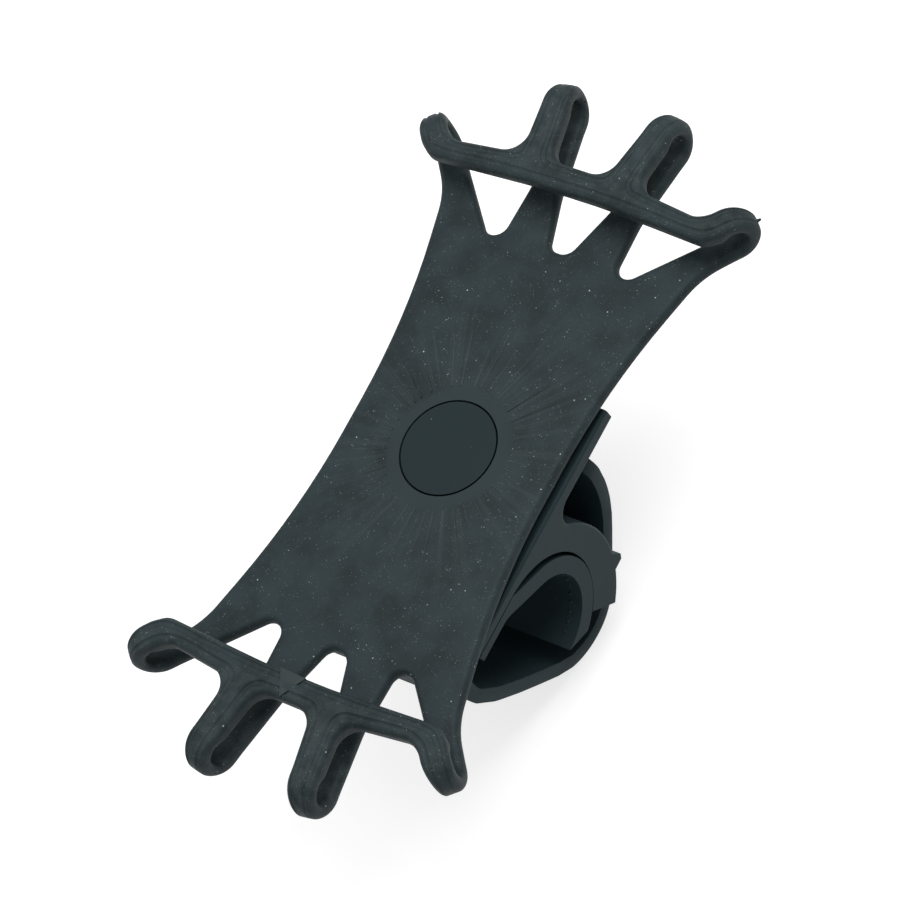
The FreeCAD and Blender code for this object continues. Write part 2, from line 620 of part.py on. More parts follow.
def add_pivot(body):
    """Recess, pivot boss and screw boss of the swivel."""
    recess = add_sketch(body, "table_recess", "XY_Plane", RECESS_FLOOR)
    circle_outline(recess, "0", SWIVEL_Y, "Sizes.table_radius + Sizes.table_gap")
    add_pocket(body, "recess_cut", recess, "2 * Sizes.plate_thick", reverse=True)
    boss = add_sketch(body, "pivot_outline", "XY_Plane", RECESS_FLOOR)
    circle_outline(boss, "0", SWIVEL_Y, "Sizes.pivot_radius")
    add_pad(body, "pivot_pad", boss, "%s - %s" % (PIVOT_TOP, RECESS_FLOOR))
    post = add_sketch(body, "screw_boss", "XY_Plane", RECESS_FLOOR)
    circle_outline(post, "0", SWIVEL_Y, "Sizes.screw_boss_radius")
    drop = "%s - %s + Sizes.screw_boss_drop" % (RECESS_FLOOR, PLATE_BOTTOM)
    add_pad(body, "screw_boss_pad", post, drop, reverse=True)
    pilot = add_sketch(body, "screw_hole", "XY_Plane", PIVOT_TOP)
    circle_outline(pilot, "0", SWIVEL_Y, "Sizes.screw_radius + Sizes.thread_gap")
    add_pocket(body, "screw_cut", pilot, "Sizes.screw_length - Sizes.washer_thick + Sizes.hole_gap")


def add_jaw_fillet(body):
    """Concave fillet where the jaw's outside meets the underside of the plate."""
    level = number(PLATE_BOTTOM)
    reach = math.sqrt(number(JAW_OUTSIDE) ** 2 - (level + number("Sizes.jaw_drop")) ** 2)
    names = []
    for index, edge in enumerate(body.Shape.Edges, start=1):
        box = edge.BoundBox
        if abs(box.ZMin - level) + abs(box.ZMax - level) < 0.01 and \
                abs(box.YMin - reach) + abs(box.YMax - reach) < 0.01:
            names.append("Edge%d" % index)
    if not names:
        raise ValueError("no edge between jaw and plate")
    add_fillet(body, "jaw_fillet", body.Tip, names, "Sizes.jaw_fillet")


def round_sides(body):
    """Moulded rounding along both sides of the plate's top and of the jaw's outside."""
    side = number("Sizes.bracket_width / 2")
    names = []
    for index, edge in enumerate(body.Shape.Edges, start=1):
        box = edge.BoundBox
        on_side = box.XLength < 0.01 and abs(abs(box.Center.x) - side) < 0.01
        on_top = box.ZMin > number(PLATE_TOP) - 0.01
        curved = edge.Curve.TypeId == "Part::GeomCircle"
        on_jaw = curved and abs(edge.Curve.Radius - number(JAW_OUTSIDE)) < 0.01 and box.YMin > 0
        if on_side and (on_top or on_jaw):
            names.append("Edge%d" % index)
    add_fillet(body, "side_round", body.Tip, names, "Sizes.bracket_round")


# Rubber liner and strap

def make_bar_liner():
    """Ring round the front of the handlebar, and a leg that runs back under the plate."""
    body = add_body("bar_liner")
    ring = add_sketch(body, "liner_rings", "YZ_Plane")
    circle_outline(ring, "0", "0", LINER_OUTSIDE)
    circle_outline(ring, "0", "0", "Sizes.bar_radius")
    add_pad(body, "liner_pad", ring, "Sizes.bracket_width", symmetric=True)
    mouth = add_sketch(body, "liner_mouth", "YZ_Plane")
    far = "(3 * Sizes.jaw_radius)"
    inner = polar("Sizes.bar_radius", "Sizes.liner_end")
    outer = polar(LINER_OUTSIDE, "Sizes.liner_taper")
    beyond = tuple("3 * (%s) - 2 * (%s)" % (outer[axis], inner[axis]) for axis in (0, 1))
    rounded_outline(mouth, [
        ("0", "0", None),
        polar(far, "(-Sizes.leg_start)"),
        ("-%s" % far, far, None),
        ("-%s" % far, "-%s" % far, None),
        (beyond[0], beyond[1], None),
        inner,
    ])
    add_pocket(body, "liner_cut", mouth, "2 * Sizes.bracket_width", symmetric=True)
    leg = add_sketch(body, "leg_outline", "YZ_Plane")
    upper = "(%s - Sizes.liner_gap)" % CEILING
    lower = "(%s - Sizes.leg_thick)" % upper
    end = "(Sizes.heel_front + Sizes.liner_gap)"
    rounded_outline(leg, [
        polar("Sizes.bar_radius", "(-Sizes.leg_start)"),
        polar(LINER_OUTSIDE, "(-Sizes.leg_start)"),
        ("-Sizes.leg_heel", upper, None),
        (end, upper, None),
        (end, lower, None),
        ("-Sizes.leg_sole", lower, "Sizes.leg_round"),
    ])
    add_pad(body, "leg_pad", leg, "Sizes.bracket_width", symmetric=True)
    return body


STRAP_PATH = [
    ("Sizes.tail_y", "Sizes.tail_top", None),
    ("Sizes.tail_y", "Sizes.tail_bend", "Sizes.tail_bend_radius"),
    ("Sizes.sole_y", "Sizes.sole_z", "Sizes.sole_radius"),
    ("Sizes.chord_y", "Sizes.chord_z", "Sizes.chord_radius"),
    ("Sizes.anchor_y", "Sizes.anchor_bend", "Sizes.anchor_radius"),
    ("Sizes.anchor_y", "Sizes.anchor_z", None),
]


def make_strap():
    body = add_body("strap")
    path = add_sketch(body, "strap_path", "YZ_Plane")
    rounded_outline(path, STRAP_PATH, closed=False)
    section = add_sketch(body, "strap_section", "XY_Plane", "Sizes.tail_top")
    half = "Sizes.strap_thick / 2"
    rectangle(section, "-Sizes.strap_half", "Sizes.strap_half",
              "Sizes.tail_y - %s" % half, "Sizes.tail_y + %s" % half)
    pipe = body.newObject("PartDesign::AdditivePipe", "strap_band")
    pipe.Profile = section
    pipe.Spine = (path, [""])
    doc.recompute()
    bead = add_sketch(body, "bead_outline", "YZ_Plane")
    circle_outline(bead, "Sizes.anchor_y", "Sizes.anchor_z", "Sizes.bead_radius")
    add_pad(body, "bead_pad", bead, "2 * Sizes.strap_half", symmetric=True)
    add_strap_slots(body)
    add_tail_corners(body)
    return body


def add_strap_slots(body):
    """Slots along the straight run: one over the hook tooth and a spare one above it."""
    inside = "(%s - Sizes.jaw_wall / 2)" % JAW_OUTSIDE
    outside = "(%s + 2 * Sizes.tooth_rise)" % JAW_OUTSIDE
    for step in (0, 1):
        slot = add_sketch(body, "strap_slot_%d" % step, "YZ_Plane")
        reach = "(Sizes.tooth_thick / 2 + Sizes.slot_room)"
        upper = "(-%d * Sizes.slot_pitch - %s)" % (step, reach)
        lower = "(-%d * Sizes.slot_pitch + %s)" % (step, reach)
        rounded_outline(slot, [on_strap(inside, upper), on_strap(inside, lower),
                               on_strap(outside, lower), on_strap(outside, upper)])
        add_pocket(body, "strap_slot_cut_%d" % step, slot,
                   "2 * (Sizes.tooth_half + Sizes.slot_gap)", symmetric=True)


def add_tail_corners(body):
    """Rounded corners at the free end of the tail."""
    top = number("Sizes.tail_top")
    half = number("Sizes.strap_half")
    names = []
    for index, edge in enumerate(body.Tip.Shape.Edges, start=1):
        box = edge.BoundBox
        at_top = abs(box.ZMin - top) + abs(box.ZMax - top) < 0.01
        at_side = box.XLength < 0.01 and abs(abs(box.Center.x) - half) < 0.01
        ahead = box.YMin > 0
        if at_top and at_side and ahead:
            names.append("Edge%d" % index)
    if len(names) != 2:
        raise ValueError("the tail's corners were not found")
    add_fillet(body, "tail_corners", body.Tip, names, "Sizes.tail_round")


# Build, check and write

nodes = [make_cradle(), make_centre_cap(), make_turntable(), *make_washers(), make_pivot_screw(),
         make_bracket(), make_bar_liner(), make_strap()]
doc.recompute()

for item in doc.Objects:
    if "Invalid" in item.State or "Error" in item.State:
        raise RuntimeError("%s failed: %s" % (item.Label, item.State))
for node in nodes:
    if node.Shape.isNull() or not node.Shape.isValid() or not node.Shape.Solids:
        raise RuntimeError("%s has no valid solid" % node.Label)

os.makedirs("parts", exist_ok=True)
for node in nodes:
    node.Shape.exportStep("parts/%s.step" % node.Label)
    print(node.Label, "%.1f mm3" % node.Shape.Volume, len(node.Shape.Solids), "solid")
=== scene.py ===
import json
import math
import random

import bpy
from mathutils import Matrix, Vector

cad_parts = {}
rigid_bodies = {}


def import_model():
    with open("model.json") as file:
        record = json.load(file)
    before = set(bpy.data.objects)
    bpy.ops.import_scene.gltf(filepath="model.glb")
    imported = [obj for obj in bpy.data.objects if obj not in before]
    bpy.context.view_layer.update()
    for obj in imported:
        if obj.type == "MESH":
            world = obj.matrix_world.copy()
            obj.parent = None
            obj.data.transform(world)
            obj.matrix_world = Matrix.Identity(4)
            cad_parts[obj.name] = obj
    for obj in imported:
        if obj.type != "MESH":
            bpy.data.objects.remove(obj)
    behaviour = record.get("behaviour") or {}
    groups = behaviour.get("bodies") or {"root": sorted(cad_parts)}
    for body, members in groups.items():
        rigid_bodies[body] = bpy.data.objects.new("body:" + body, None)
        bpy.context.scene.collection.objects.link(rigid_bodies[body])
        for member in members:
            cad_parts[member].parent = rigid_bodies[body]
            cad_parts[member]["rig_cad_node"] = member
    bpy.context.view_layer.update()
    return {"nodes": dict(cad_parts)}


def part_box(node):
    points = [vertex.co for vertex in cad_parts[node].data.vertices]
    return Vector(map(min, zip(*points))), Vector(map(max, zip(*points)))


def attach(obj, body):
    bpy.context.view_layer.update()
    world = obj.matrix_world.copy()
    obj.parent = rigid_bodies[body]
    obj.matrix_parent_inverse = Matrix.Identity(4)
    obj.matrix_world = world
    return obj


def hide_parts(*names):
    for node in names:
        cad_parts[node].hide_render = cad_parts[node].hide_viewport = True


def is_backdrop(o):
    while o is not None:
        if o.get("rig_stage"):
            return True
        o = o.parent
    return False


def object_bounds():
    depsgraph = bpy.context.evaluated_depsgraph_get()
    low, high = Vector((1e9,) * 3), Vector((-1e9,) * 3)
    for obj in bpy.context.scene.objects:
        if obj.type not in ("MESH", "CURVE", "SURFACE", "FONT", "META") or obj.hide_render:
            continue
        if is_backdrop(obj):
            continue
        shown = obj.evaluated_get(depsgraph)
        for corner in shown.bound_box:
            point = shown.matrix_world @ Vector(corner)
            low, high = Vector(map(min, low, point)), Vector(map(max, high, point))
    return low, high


bl_info = {
    "name": "Bike phone holder",
    "version": (1, 0, 0),
    "blender": (4, 5, 0),
    "location": "3D View > Sidebar > Phone holder",
    "description": "Dresses the packed phone holder: cradle, rays, flash, strap, dots, finishes and stage",
    "category": "Object",
}

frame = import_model()
NODES = frame["nodes"]

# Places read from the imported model, in metres
CAP_LOW, CAP_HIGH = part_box("centre_cap")
CRADLE_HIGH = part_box("cradle")[1]
LINER_LOW, LINER_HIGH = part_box("bar_liner")
SWIVEL = Vector(((CAP_LOW.x + CAP_HIGH.x) / 2, (CAP_LOW.y + CAP_HIGH.y) / 2, 0))
SHEET_TOP = CAP_HIGH.z
BAR_TOP = CRADLE_HIGH.z

# Points closer than this are one point
MERGE = 0.000001

# Largest angle between two faces that still shade as one
SMOOTH_BODY = math.radians(35)
SMOOTH_FLASH = math.radians(40)
SMOOTH_DOT = math.radians(50)
SMOOTH_RAY = math.radians(60)


# Sizes, colours and view that a user would change

def length_field(name, description, default):
    return bpy.props.FloatProperty(name=name, description=description, default=default, unit="LENGTH")


def lengths_field(name, description, default):
    return bpy.props.FloatVectorProperty(
        name=name, description=description, default=default, size=len(default), unit="LENGTH")


def angle_field(name, description, degrees):
    return bpy.props.FloatProperty(
        name=name, description=description, default=math.radians(degrees), unit="ROTATION")


def colour_field(name, description, default):
    return bpy.props.FloatVectorProperty(
        name=name, description=description, default=default, subtype="COLOR", size=3, min=0.0, max=1.0)


class HolderSizes(bpy.types.PropertyGroup):
    ray_count: bpy.props.IntProperty(
        name="Rays", description="Number of fine ridges round the cap", default=40, min=8)
    ray_start: length_field("Ray start", "Radius of the smooth ring inside the rays", 0.0134)
    ray_width: length_field("Ray width", "Width of a ray at its inner end", 0.0007)
    ray_height: length_field("Ray height", "Height of a ray above the sheet", 0.0003)
    ray_short: length_field("Shortest ray", "Length of the rays that point to the sides", 0.0065)
    ray_long: length_field("Longest ray", "Length of the rays that point to the ends", 0.026)
    groove_width: length_field("Groove", "Width of the moulded grooves on bars and loops", 0.0014)
    groove_depth: length_field("Groove depth", "Depth of the moulded grooves", 0.0004)
    groove_margin: length_field(
        "Groove margin", "Distance of a groove from the edge of its bar or loop", 0.00145)
    bar_inside: length_field(
        "Bar inside", "Distance of a cross bar's inner side from the cap's centre", 0.0546)
    bar_outside: length_field(
        "Bar outside", "Distance of a cross bar's outer side from the cap's centre", 0.0602)
    bar_thick: length_field("Bar thickness", "Thickness of the bars and the loops' upper runs", 0.004)
    bar_straight: length_field("Bar straight", "Half length of a cross bar's straight middle", 0.008)
    elbow: lengths_field(
        "Elbow", "Inner corner where the bar turns into the outer loop", (0.0326, 0.0533))
    crook: lengths_field(
        "Crook", "Outer corner where the bar turns into the outer loop", (0.0286, 0.0582))
    crotch_outside: lengths_field(
        "Outside crotch", "Corner of bar and inner loop on the outside", (0.0136, 0.0599))
    crotch_inside: length_field(
        "Inside crotch", "Distance of the inner loop's inner side from the middle", 0.0066)
    outer_tip: lengths_field("Outer tip", "Where the outer loop's bend starts", (0.0348, 0.0588))
    outer_half: length_field("Outer loop", "Half width of an outer loop", 0.0029)
    outer_splay: angle_field("Outer splay", "Angle of the outer loop from the long axis", 41.8)
    inner_tip: lengths_field("Inner tip", "Where the inner loop's bend starts", (0.0122, 0.0724))
    inner_half: length_field("Inner loop", "Half width of an inner loop", 0.0031)
    inner_splay: angle_field("Inner splay", "Angle of the inner loop from the long axis", 9.1)
    bend_radius: length_field("Bend", "Outside radius of a loop's bend", 0.00575)
    step_round: length_field("Step", "Rounding where a loop's thick upper run ends", 0.0007)
    tip_round: bpy.props.FloatProperty(
        name="Round tips", description="How much a loop narrows towards its tip", default=0.72,
        min=0.0, max=0.85)
    flake_radius: length_field("Flake", "Radius of the flake of flash on the lower bar", 0.0037)
    flake_thick: length_field("Flake thickness", "Thickness of that flake", 0.0005)
    nub_radius: length_field("Nub", "Radius of a nub of flash at its foot", 0.0005)
    nub_length: length_field("Nub length", "Length of the longest nub", 0.0012)
    dot_count: bpy.props.IntProperty(
        name="Dots", description="Number of grip dots in a row", default=13, min=1)
    dot_first: angle_field("First dot", "Angle of the lowest dot above level", -72)
    dot_pitch: angle_field("Dot pitch", "Angle between two dots of a row", 10.5)
    dot_radius: length_field("Liner dot", "Radius of a grip dot inside the liner", 0.00045)
    dot_inset: length_field("Dot row", "Distance of a row of dots from the liner's side", 0.0028)
    bore_radius: length_field("Bore", "Radius of the liner's bore", 0.0112)


class StrapSizes(bpy.types.PropertyGroup):
    tail: lengths_field("Tail", "Free end of the strap, along and up", (0.0312, 0.0126))
    bend: lengths_field("Bend", "Corner where the tail turns under the bar", (0.0312, -0.002))
    sole: lengths_field("Sole", "Lowest corner of the strap's route", (0.0104, -0.0295))
    chord: lengths_field("Chord", "Corner of the route behind the bar", (-0.015, -0.0032))
    heel: lengths_field("Heel", "Corner where the strap turns up into the heel", (-0.019, 0.0045))
    anchor: lengths_field("Anchor", "Bead at the strap's fixed end", (-0.019, 0.0142))
    packed_radii: lengths_field(
        "Packed bends", "Radii of the packed strap at its four corners", (0.009, 0.010, 0.012, 0.005))
    soft_radii: lengths_field(
        "Soft bends", "Radii of the visible strap at its four corners", (0.026, 0.0135, 0.036, 0.009))
    bulge: length_field("Bulge", "How far the strap stands out below the tooth", 0.0017)
    bulge_peak: bpy.props.FloatProperty(
        name="Bulge peak", description="Where it stands out most, from the tooth (0) to behind the bar (1)",
        default=0.3)
    ring_pitch: length_field("Ring pitch", "Distance of the cuts that let the strap bend", 0.0012)
    edge_round: length_field("Strap edge", "Rounding of the strap's edges", 0.0003)


class HolderColours(bpy.types.PropertyGroup):
    silicone: colour_field("Silicone", "Colour of the cradle", (0.0185, 0.0300, 0.0338))
    cap: colour_field("Cap", "Colour of the cap and the turntable", (0.0045, 0.0158, 0.0194))
    bracket: colour_field("Bracket", "Colour of the bracket", (0.0180, 0.0345, 0.0400))
    rubber: colour_field("Rubber", "Colour of the strap and the liner", (0.0185, 0.0335, 0.0395))
    # Lighter silicone colour: real wear on torn flash and frosted ends, and painted highlight on the crests
    # of the rays and streaks
    worn_and_highlight: colour_field(
        "Worn silicone and painted highlight", "Colour of crests lightened as painted highlight, torn flash and frosted ends", (0.034, 0.047, 0.050))
    steel: colour_field("Steel", "Colour of the screw and the washers", (0.55, 0.56, 0.57))
    dust: colour_field("Dust", "Colour of the specks on the silicone", (0.36, 0.42, 0.42))
    floor: colour_field("Floor", "Colour of the floor", (0.5, 0.5, 0.5))


class HolderView(bpy.types.PropertyGroup):
    camera_place: bpy.props.FloatVectorProperty(
        name="Camera place", description="Where the camera stands", subtype="TRANSLATION", size=3,
        unit="LENGTH", default=(0.47132, -0.19266, 0.75043))
    camera_turn: bpy.props.FloatVectorProperty(
        name="Camera turn", description="How the camera is turned", subtype="EULER", size=3,
        default=(0.493262, 0.389454, 0.531647))
    lens: bpy.props.FloatProperty(
        name="Lens", description="Focal length on a 36 mm sensor, in millimetres", default=184.2)


# Node helpers

def new_group(name, inputs, outputs):
    """Shader node group at a vector, with values in and out; returns it, its input and its output node."""
    group = bpy.data.node_groups.new(name, "ShaderNodeTree")
    group.interface.new_socket(name="Vector", in_out="INPUT", socket_type="NodeSocketVector")
    for label, default in inputs.items():
        socket = group.interface.new_socket(name=label, in_out="INPUT", socket_type="NodeSocketFloat")
        socket.default_value = default
    for label in outputs:
        group.interface.new_socket(name=label, in_out="OUTPUT", socket_type="NodeSocketFloat")
    return group, group.nodes.new("NodeGroupInput"), group.nodes.new("NodeGroupOutput")


def set_inputs(node, **values):
    """Set a node's inputs by their names; an underscore stands for a space."""
    for label, value in values.items():
        node.inputs[label.replace("_", " ")].default_value = value


def add_group(tree, name, vector, **values):
    node = tree.nodes.new("ShaderNodeGroup")
    node.node_tree = bpy.data.node_groups[name]
    tree.links.new(vector, node.inputs["Vector"])
    set_inputs(node, **values)
    return node


def math_node(tree, operation, first, second=None, third=None, clamp=False):
    node = tree.nodes.new("ShaderNodeMath")
    node.operation = operation
    node.use_clamp = clamp
    for index, value in enumerate((first, second, third)):
        if value is None:
            continue
        if isinstance(value, (int, float)):
            node.inputs[index].default_value = value
        else:
            tree.links.new(value, node.inputs[index])
    return node.outputs[0]


def times(tree, first, second):
    return math_node(tree, "MULTIPLY", first, second)


def vector_node(tree, operation, first, second=None):
    node = tree.nodes.new("ShaderNodeVectorMath")
    node.operation = operation
    for index, value in enumerate((first, second)):
        if isinstance(value, bpy.types.NodeSocket):
            tree.links.new(value, node.inputs[index])
        elif value is not None:
            node.inputs[index].default_value = value
    return node


def ramp_node(tree, value, start, end, low=0.0, high=1.0):
    """Smooth change of a value from low to high between start and end."""
    node = tree.nodes.new("ShaderNodeMapRange")
    node.interpolation_type = "SMOOTHSTEP"
    tree.links.new(value, node.inputs["Value"])
    set_inputs(node, From_Min=start, From_Max=end, To_Min=low, To_Max=high)
    return node.outputs["Result"]


def mix_colours(tree, factor, first, second):
    """Mix two colours; each may be a socket or a value."""
    node = tree.nodes.new("ShaderNodeMix")
    node.data_type = "RGBA"
    # Sockets 6 and 7 and output 2 are the ones for colours
    for socket, value in ((node.inputs[0], factor), (node.inputs[6], first), (node.inputs[7], second)):
        if isinstance(value, (int, float)):
            socket.default_value = value
        elif isinstance(value, bpy.types.NodeSocket):
            tree.links.new(value, socket)
        else:
            socket.default_value = (*value, 1.0)
    return node.outputs[2]


def shade(colour, factor):
    return [value * factor for value in colour]


# Effects that several materials share

def make_dust_group():
    """Sparse small specks, each with its own size, scattered over the surface."""
    group, inside, outside = new_group(
        "Dust specks", {"Scale": 900.0, "Amount": 0.2, "Size": 0.22}, ["Mask"])
    cells = group.nodes.new("ShaderNodeTexVoronoi")
    group.links.new(inside.outputs["Vector"], cells.inputs["Vector"])
    group.links.new(inside.outputs["Scale"], cells.inputs["Scale"])
    draws = group.nodes.new("ShaderNodeSeparateColor")
    group.links.new(cells.outputs["Color"], draws.inputs["Color"])
    chosen = math_node(group, "LESS_THAN", draws.outputs["Red"], inside.outputs["Amount"])
    reach = times(group, draws.outputs["Green"], inside.outputs["Size"])
    near = math_node(group, "LESS_THAN", cells.outputs["Distance"], reach)
    group.links.new(times(group, chosen, near), outside.inputs["Mask"])


def make_grain_group():
    """Uneven moulded skin: broad cloudy tone and a fine grain."""
    group, inside, outside = new_group(
        "Moulded skin", {"Cloud scale": 60.0, "Grain scale": 2500.0}, ["Cloud", "Grain"])
    for output, detail in (("Cloud", 5.0), ("Grain", 3.0)):
        noise = group.nodes.new("ShaderNodeTexNoise")
        set_inputs(noise, Detail=detail)
        group.links.new(inside.outputs["Vector"], noise.inputs["Vector"])
        group.links.new(inside.outputs[output + " scale"], noise.inputs["Scale"])
        group.links.new(noise.outputs["Fac"], outside.inputs[output])


# Where the sunburst's effects start and end: distances from the cap's axis, and below the sheet's top
RING_EDGE = (0.0118, 0.0140)
STREAK_START = (0.013, 0.0142)
STREAK_END = (0.015, 0.042)
WORN_ENDS = (0.045, 0.066)
TOP_DEPTH = (0.0004, 0.0009)
# Part of the noise that shows as a streak's crest
STREAK_CREST = (0.48, 0.68)


def make_sunburst_group():
    """Smooth ring round the cap, streaks that run out from it, and the worn far ends."""
    group, inside, outside = new_group("Sunburst", {"Streaks": 16.0}, ["Ring", "Streak", "Ends"])
    centre = (SWIVEL.x, SWIVEL.y, SHEET_TOP)
    apart = vector_node(group, "SUBTRACT", inside.outputs["Vector"], centre).outputs[0]
    flat = vector_node(group, "MULTIPLY", apart, (1, 1, 0)).outputs[0]
    radius = vector_node(group, "LENGTH", flat).outputs["Value"]
    axes = group.nodes.new("ShaderNodeSeparateXYZ")
    group.links.new(apart, axes.inputs[0])
    top = ramp_node(group, math_node(group, "ABSOLUTE", axes.outputs["Z"]), *TOP_DEPTH, 1.0, 0.0)
    ring = times(group, ramp_node(group, radius, *RING_EDGE, 1.0, 0.0), top)
    group.links.new(ring, outside.inputs["Ring"])
    noise = group.nodes.new("ShaderNodeTexNoise")
    set_inputs(noise, Detail=3.0)
    group.links.new(vector_node(group, "NORMALIZE", flat).outputs[0], noise.inputs["Vector"])
    group.links.new(inside.outputs["Streaks"], noise.inputs["Scale"])
    crest = ramp_node(group, noise.outputs["Fac"], *STREAK_CREST)
    fade = times(group, ramp_node(group, radius, *STREAK_END, 1.0, 0.0),
                 ramp_node(group, radius, *STREAK_START))
    streak = times(group, times(group, crest, fade), top)
    group.links.new(streak, outside.inputs["Streak"])
    ends = ramp_node(group, math_node(group, "ABSOLUTE", axes.outputs["Y"]), *WORN_ENDS)
    group.links.new(ends, outside.inputs["Ends"])


# Materials

def new_material(name):
    """Material with its node tree; returns the tree and its Principled shader."""
    material = bpy.data.materials.new(name)
    material.use_nodes = True
    return material.node_tree, material.node_tree.nodes["Principled BSDF"]


def object_place(tree):
    return tree.nodes.new("ShaderNodeTexCoord").outputs["Object"]


def dust_mask(tree, vector, layers, cluster=None):
    """Specks in layers of scale, amount, size and strength; the faint layers gather in clusters."""
    mask = None
    for scale, amount, size, strength in layers:
        specks = add_group(tree, "Dust specks", vector, Scale=scale, Amount=amount, Size=size)
        layer = times(tree, specks.outputs["Mask"], strength)
        if cluster is not None and strength < 1.0:
            layer = times(tree, layer, cluster)
        mask = layer if mask is None else math_node(tree, "MAXIMUM", mask, layer)
    return mask


def add_relief(tree, shader, height, strength, distance):
    relief = tree.nodes.new("ShaderNodeBump")
    set_inputs(relief, Strength=strength, Distance=distance)
    tree.links.new(height, relief.inputs["Height"])
    tree.links.new(relief.outputs["Normal"], shader.inputs["Normal"])


def moulded_material(name, colour, dust, rough, dust_amount, cloud_depth, bump, shine):
    """Dark moulded rubber or plastic: cloudy tone, fine grain and dust."""
    rough_swing = 0.16
    layers = ((1100.0, dust_amount, 0.16, 1.0), (2400.0, dust_amount, 0.24, 0.5))
    tree, shader = new_material(name)
    vector = object_place(tree)
    set_inputs(shader, Specular_IOR_Level=shine)
    skin = add_group(tree, "Moulded skin", vector)
    tone = mix_colours(tree, skin.outputs["Cloud"], shade(colour, 1 - cloud_depth),
                       shade(colour, 1 + cloud_depth))
    mask = dust_mask(tree, vector, layers)
    tree.links.new(mix_colours(tree, mask, tone, dust), shader.inputs["Base Color"])
    roughness = math_node(tree, "MULTIPLY_ADD", skin.outputs["Cloud"], rough_swing,
                          rough - rough_swing / 2, clamp=True)
    tree.links.new(roughness, shader.inputs["Roughness"])
    add_relief(tree, shader, skin.outputs["Grain"], bump, 0.00005)


# Dusty silicone: depth of its clouds, strength of each effect, and the layers of its dust
CLOUD_DEPTH = 0.26
CLOUD_RANGE = (0.3, 0.7)
WORN_RANGE = (0.35, 0.62)
WORN_SHARE = 0.8
# Share of the lighter colour on the streaks' crests: painted highlight
CREST_HIGHLIGHT_SHARE = 0.45
RING_SHARE = 0.8
RING_TONE = 1.18
CLUSTER_RANGE = (0.45, 0.65)
CLUSTER_LEAST = 0.25
SILICONE_DUST = ((1000.0, 0.08, 0.16, 1.0), (1900.0, 0.2, 0.24, 0.6), (3400.0, 0.35, 0.32, 0.35))
GRAIN_SHARE = 0.35
PATCH_GRAIN_SHARE = 0.8


def silicone_material(name, colour, worn_and_highlight, dust):
    """Dusty silicone: cloudy tone, sunburst streaks with painted highlight on their crests, smooth ring,
    worn ends and three sizes of dust.
    """
    tree, shader = new_material(name)
    vector = object_place(tree)
    set_inputs(shader, Specular_IOR_Level=0.2)
    skin = add_group(tree, "Moulded skin", vector, Cloud_scale=140.0)
    patches = add_group(tree, "Moulded skin", vector, Cloud_scale=420.0, Grain_scale=900.0)
    burst = add_group(tree, "Sunburst", vector)
    tone = mix_colours(tree, ramp_node(tree, skin.outputs["Cloud"], *CLOUD_RANGE),
                       shade(colour, 1 - CLOUD_DEPTH), shade(colour, 1 + CLOUD_DEPTH))
    frosted = times(tree, ramp_node(tree, patches.outputs["Cloud"], *WORN_RANGE), burst.outputs["Ends"])
    tone = mix_colours(tree, times(tree, frosted, WORN_SHARE), tone, worn_and_highlight)
    # The streaks' crests turn lighter: painted highlight
    tone = mix_colours(tree, times(tree, burst.outputs["Streak"], CREST_HIGHLIGHT_SHARE), tone, worn_and_highlight)
    tone = mix_colours(tree, times(tree, burst.outputs["Ring"], RING_SHARE), tone,
                       shade(colour, RING_TONE))
    off_ring = math_node(tree, "SUBTRACT", 1.0, burst.outputs["Ring"])
    cluster = ramp_node(tree, patches.outputs["Cloud"], *CLUSTER_RANGE, CLUSTER_LEAST, 1.0)
    mask = times(tree, dust_mask(tree, vector, SILICONE_DUST, cluster), off_ring)
    tree.links.new(mix_colours(tree, mask, tone, dust), shader.inputs["Base Color"])
    roughness = math_node(tree, "MULTIPLY_ADD", skin.outputs["Cloud"], 0.2, 0.5, clamp=True)
    tree.links.new(roughness, shader.inputs["Roughness"])
    grain = math_node(tree, "MULTIPLY_ADD", skin.outputs["Grain"], GRAIN_SHARE,
                      times(tree, patches.outputs["Grain"], PATCH_GRAIN_SHARE))
    height = times(tree, math_node(tree, "ADD", grain, burst.outputs["Streak"]), off_ring)
    add_relief(tree, shader, height, 0.45, 0.0001)


def steel_material(name, colour):
    """Bare steel with an even grain."""
    tree, shader = new_material(name)
    skin = add_group(tree, "Moulded skin", object_place(tree), Grain_scale=1200.0)
    set_inputs(shader, Base_Color=(*colour, 1.0), Metallic=1.0)
    roughness = math_node(tree, "MULTIPLY_ADD", skin.outputs["Grain"], 0.2, 0.25)
    tree.links.new(roughness, shader.inputs["Roughness"])


# Modelling helpers

def set_mode(mode):
    bpy.ops.object.mode_set(mode=mode)


def edit_all():
    """Edit the active piece with all of its mesh selected."""
    set_mode("EDIT")
    bpy.ops.mesh.select_all(action="SELECT")


def deselect():
    if bpy.context.object and bpy.context.object.mode != "OBJECT":
        set_mode("OBJECT")
    bpy.ops.object.select_all(action="DESELECT")


def select_only(piece):
    deselect()
    piece.select_set(True)
    bpy.context.view_layer.objects.active = piece


def settle(piece):
    """Put a piece's place into its mesh, with the object at the origin."""
    select_only(piece)
    bpy.ops.object.transform_apply(location=True, rotation=True, scale=True)


def join(pieces, name):
    deselect()
    for piece in pieces:
        piece.select_set(True)
    bpy.context.view_layer.objects.active = pieces[0]
    bpy.ops.object.join()
    whole = bpy.context.object
    whole.name = name
    whole.data.name = name
    return whole


def clear_picks(piece, kind):
    """Unselect all of a mesh, and set what is picked next: points, edges or faces."""
    select_only(piece)
    set_mode("EDIT")
    bpy.ops.mesh.select_mode(type=kind)
    bpy.ops.mesh.select_all(action="DESELECT")
    set_mode("OBJECT")


def pick_faces(piece, test):
    """Select the faces whose normal passes a test, and leave edit mode on."""
    clear_picks(piece, "FACE")
    for face in piece.data.polygons:
        face.select = test(face.normal)
    set_mode("EDIT")


def copy_piece(piece):
    """A copy with a mesh of its own."""
    select_only(piece)
    bpy.ops.object.duplicate()
    return bpy.context.object


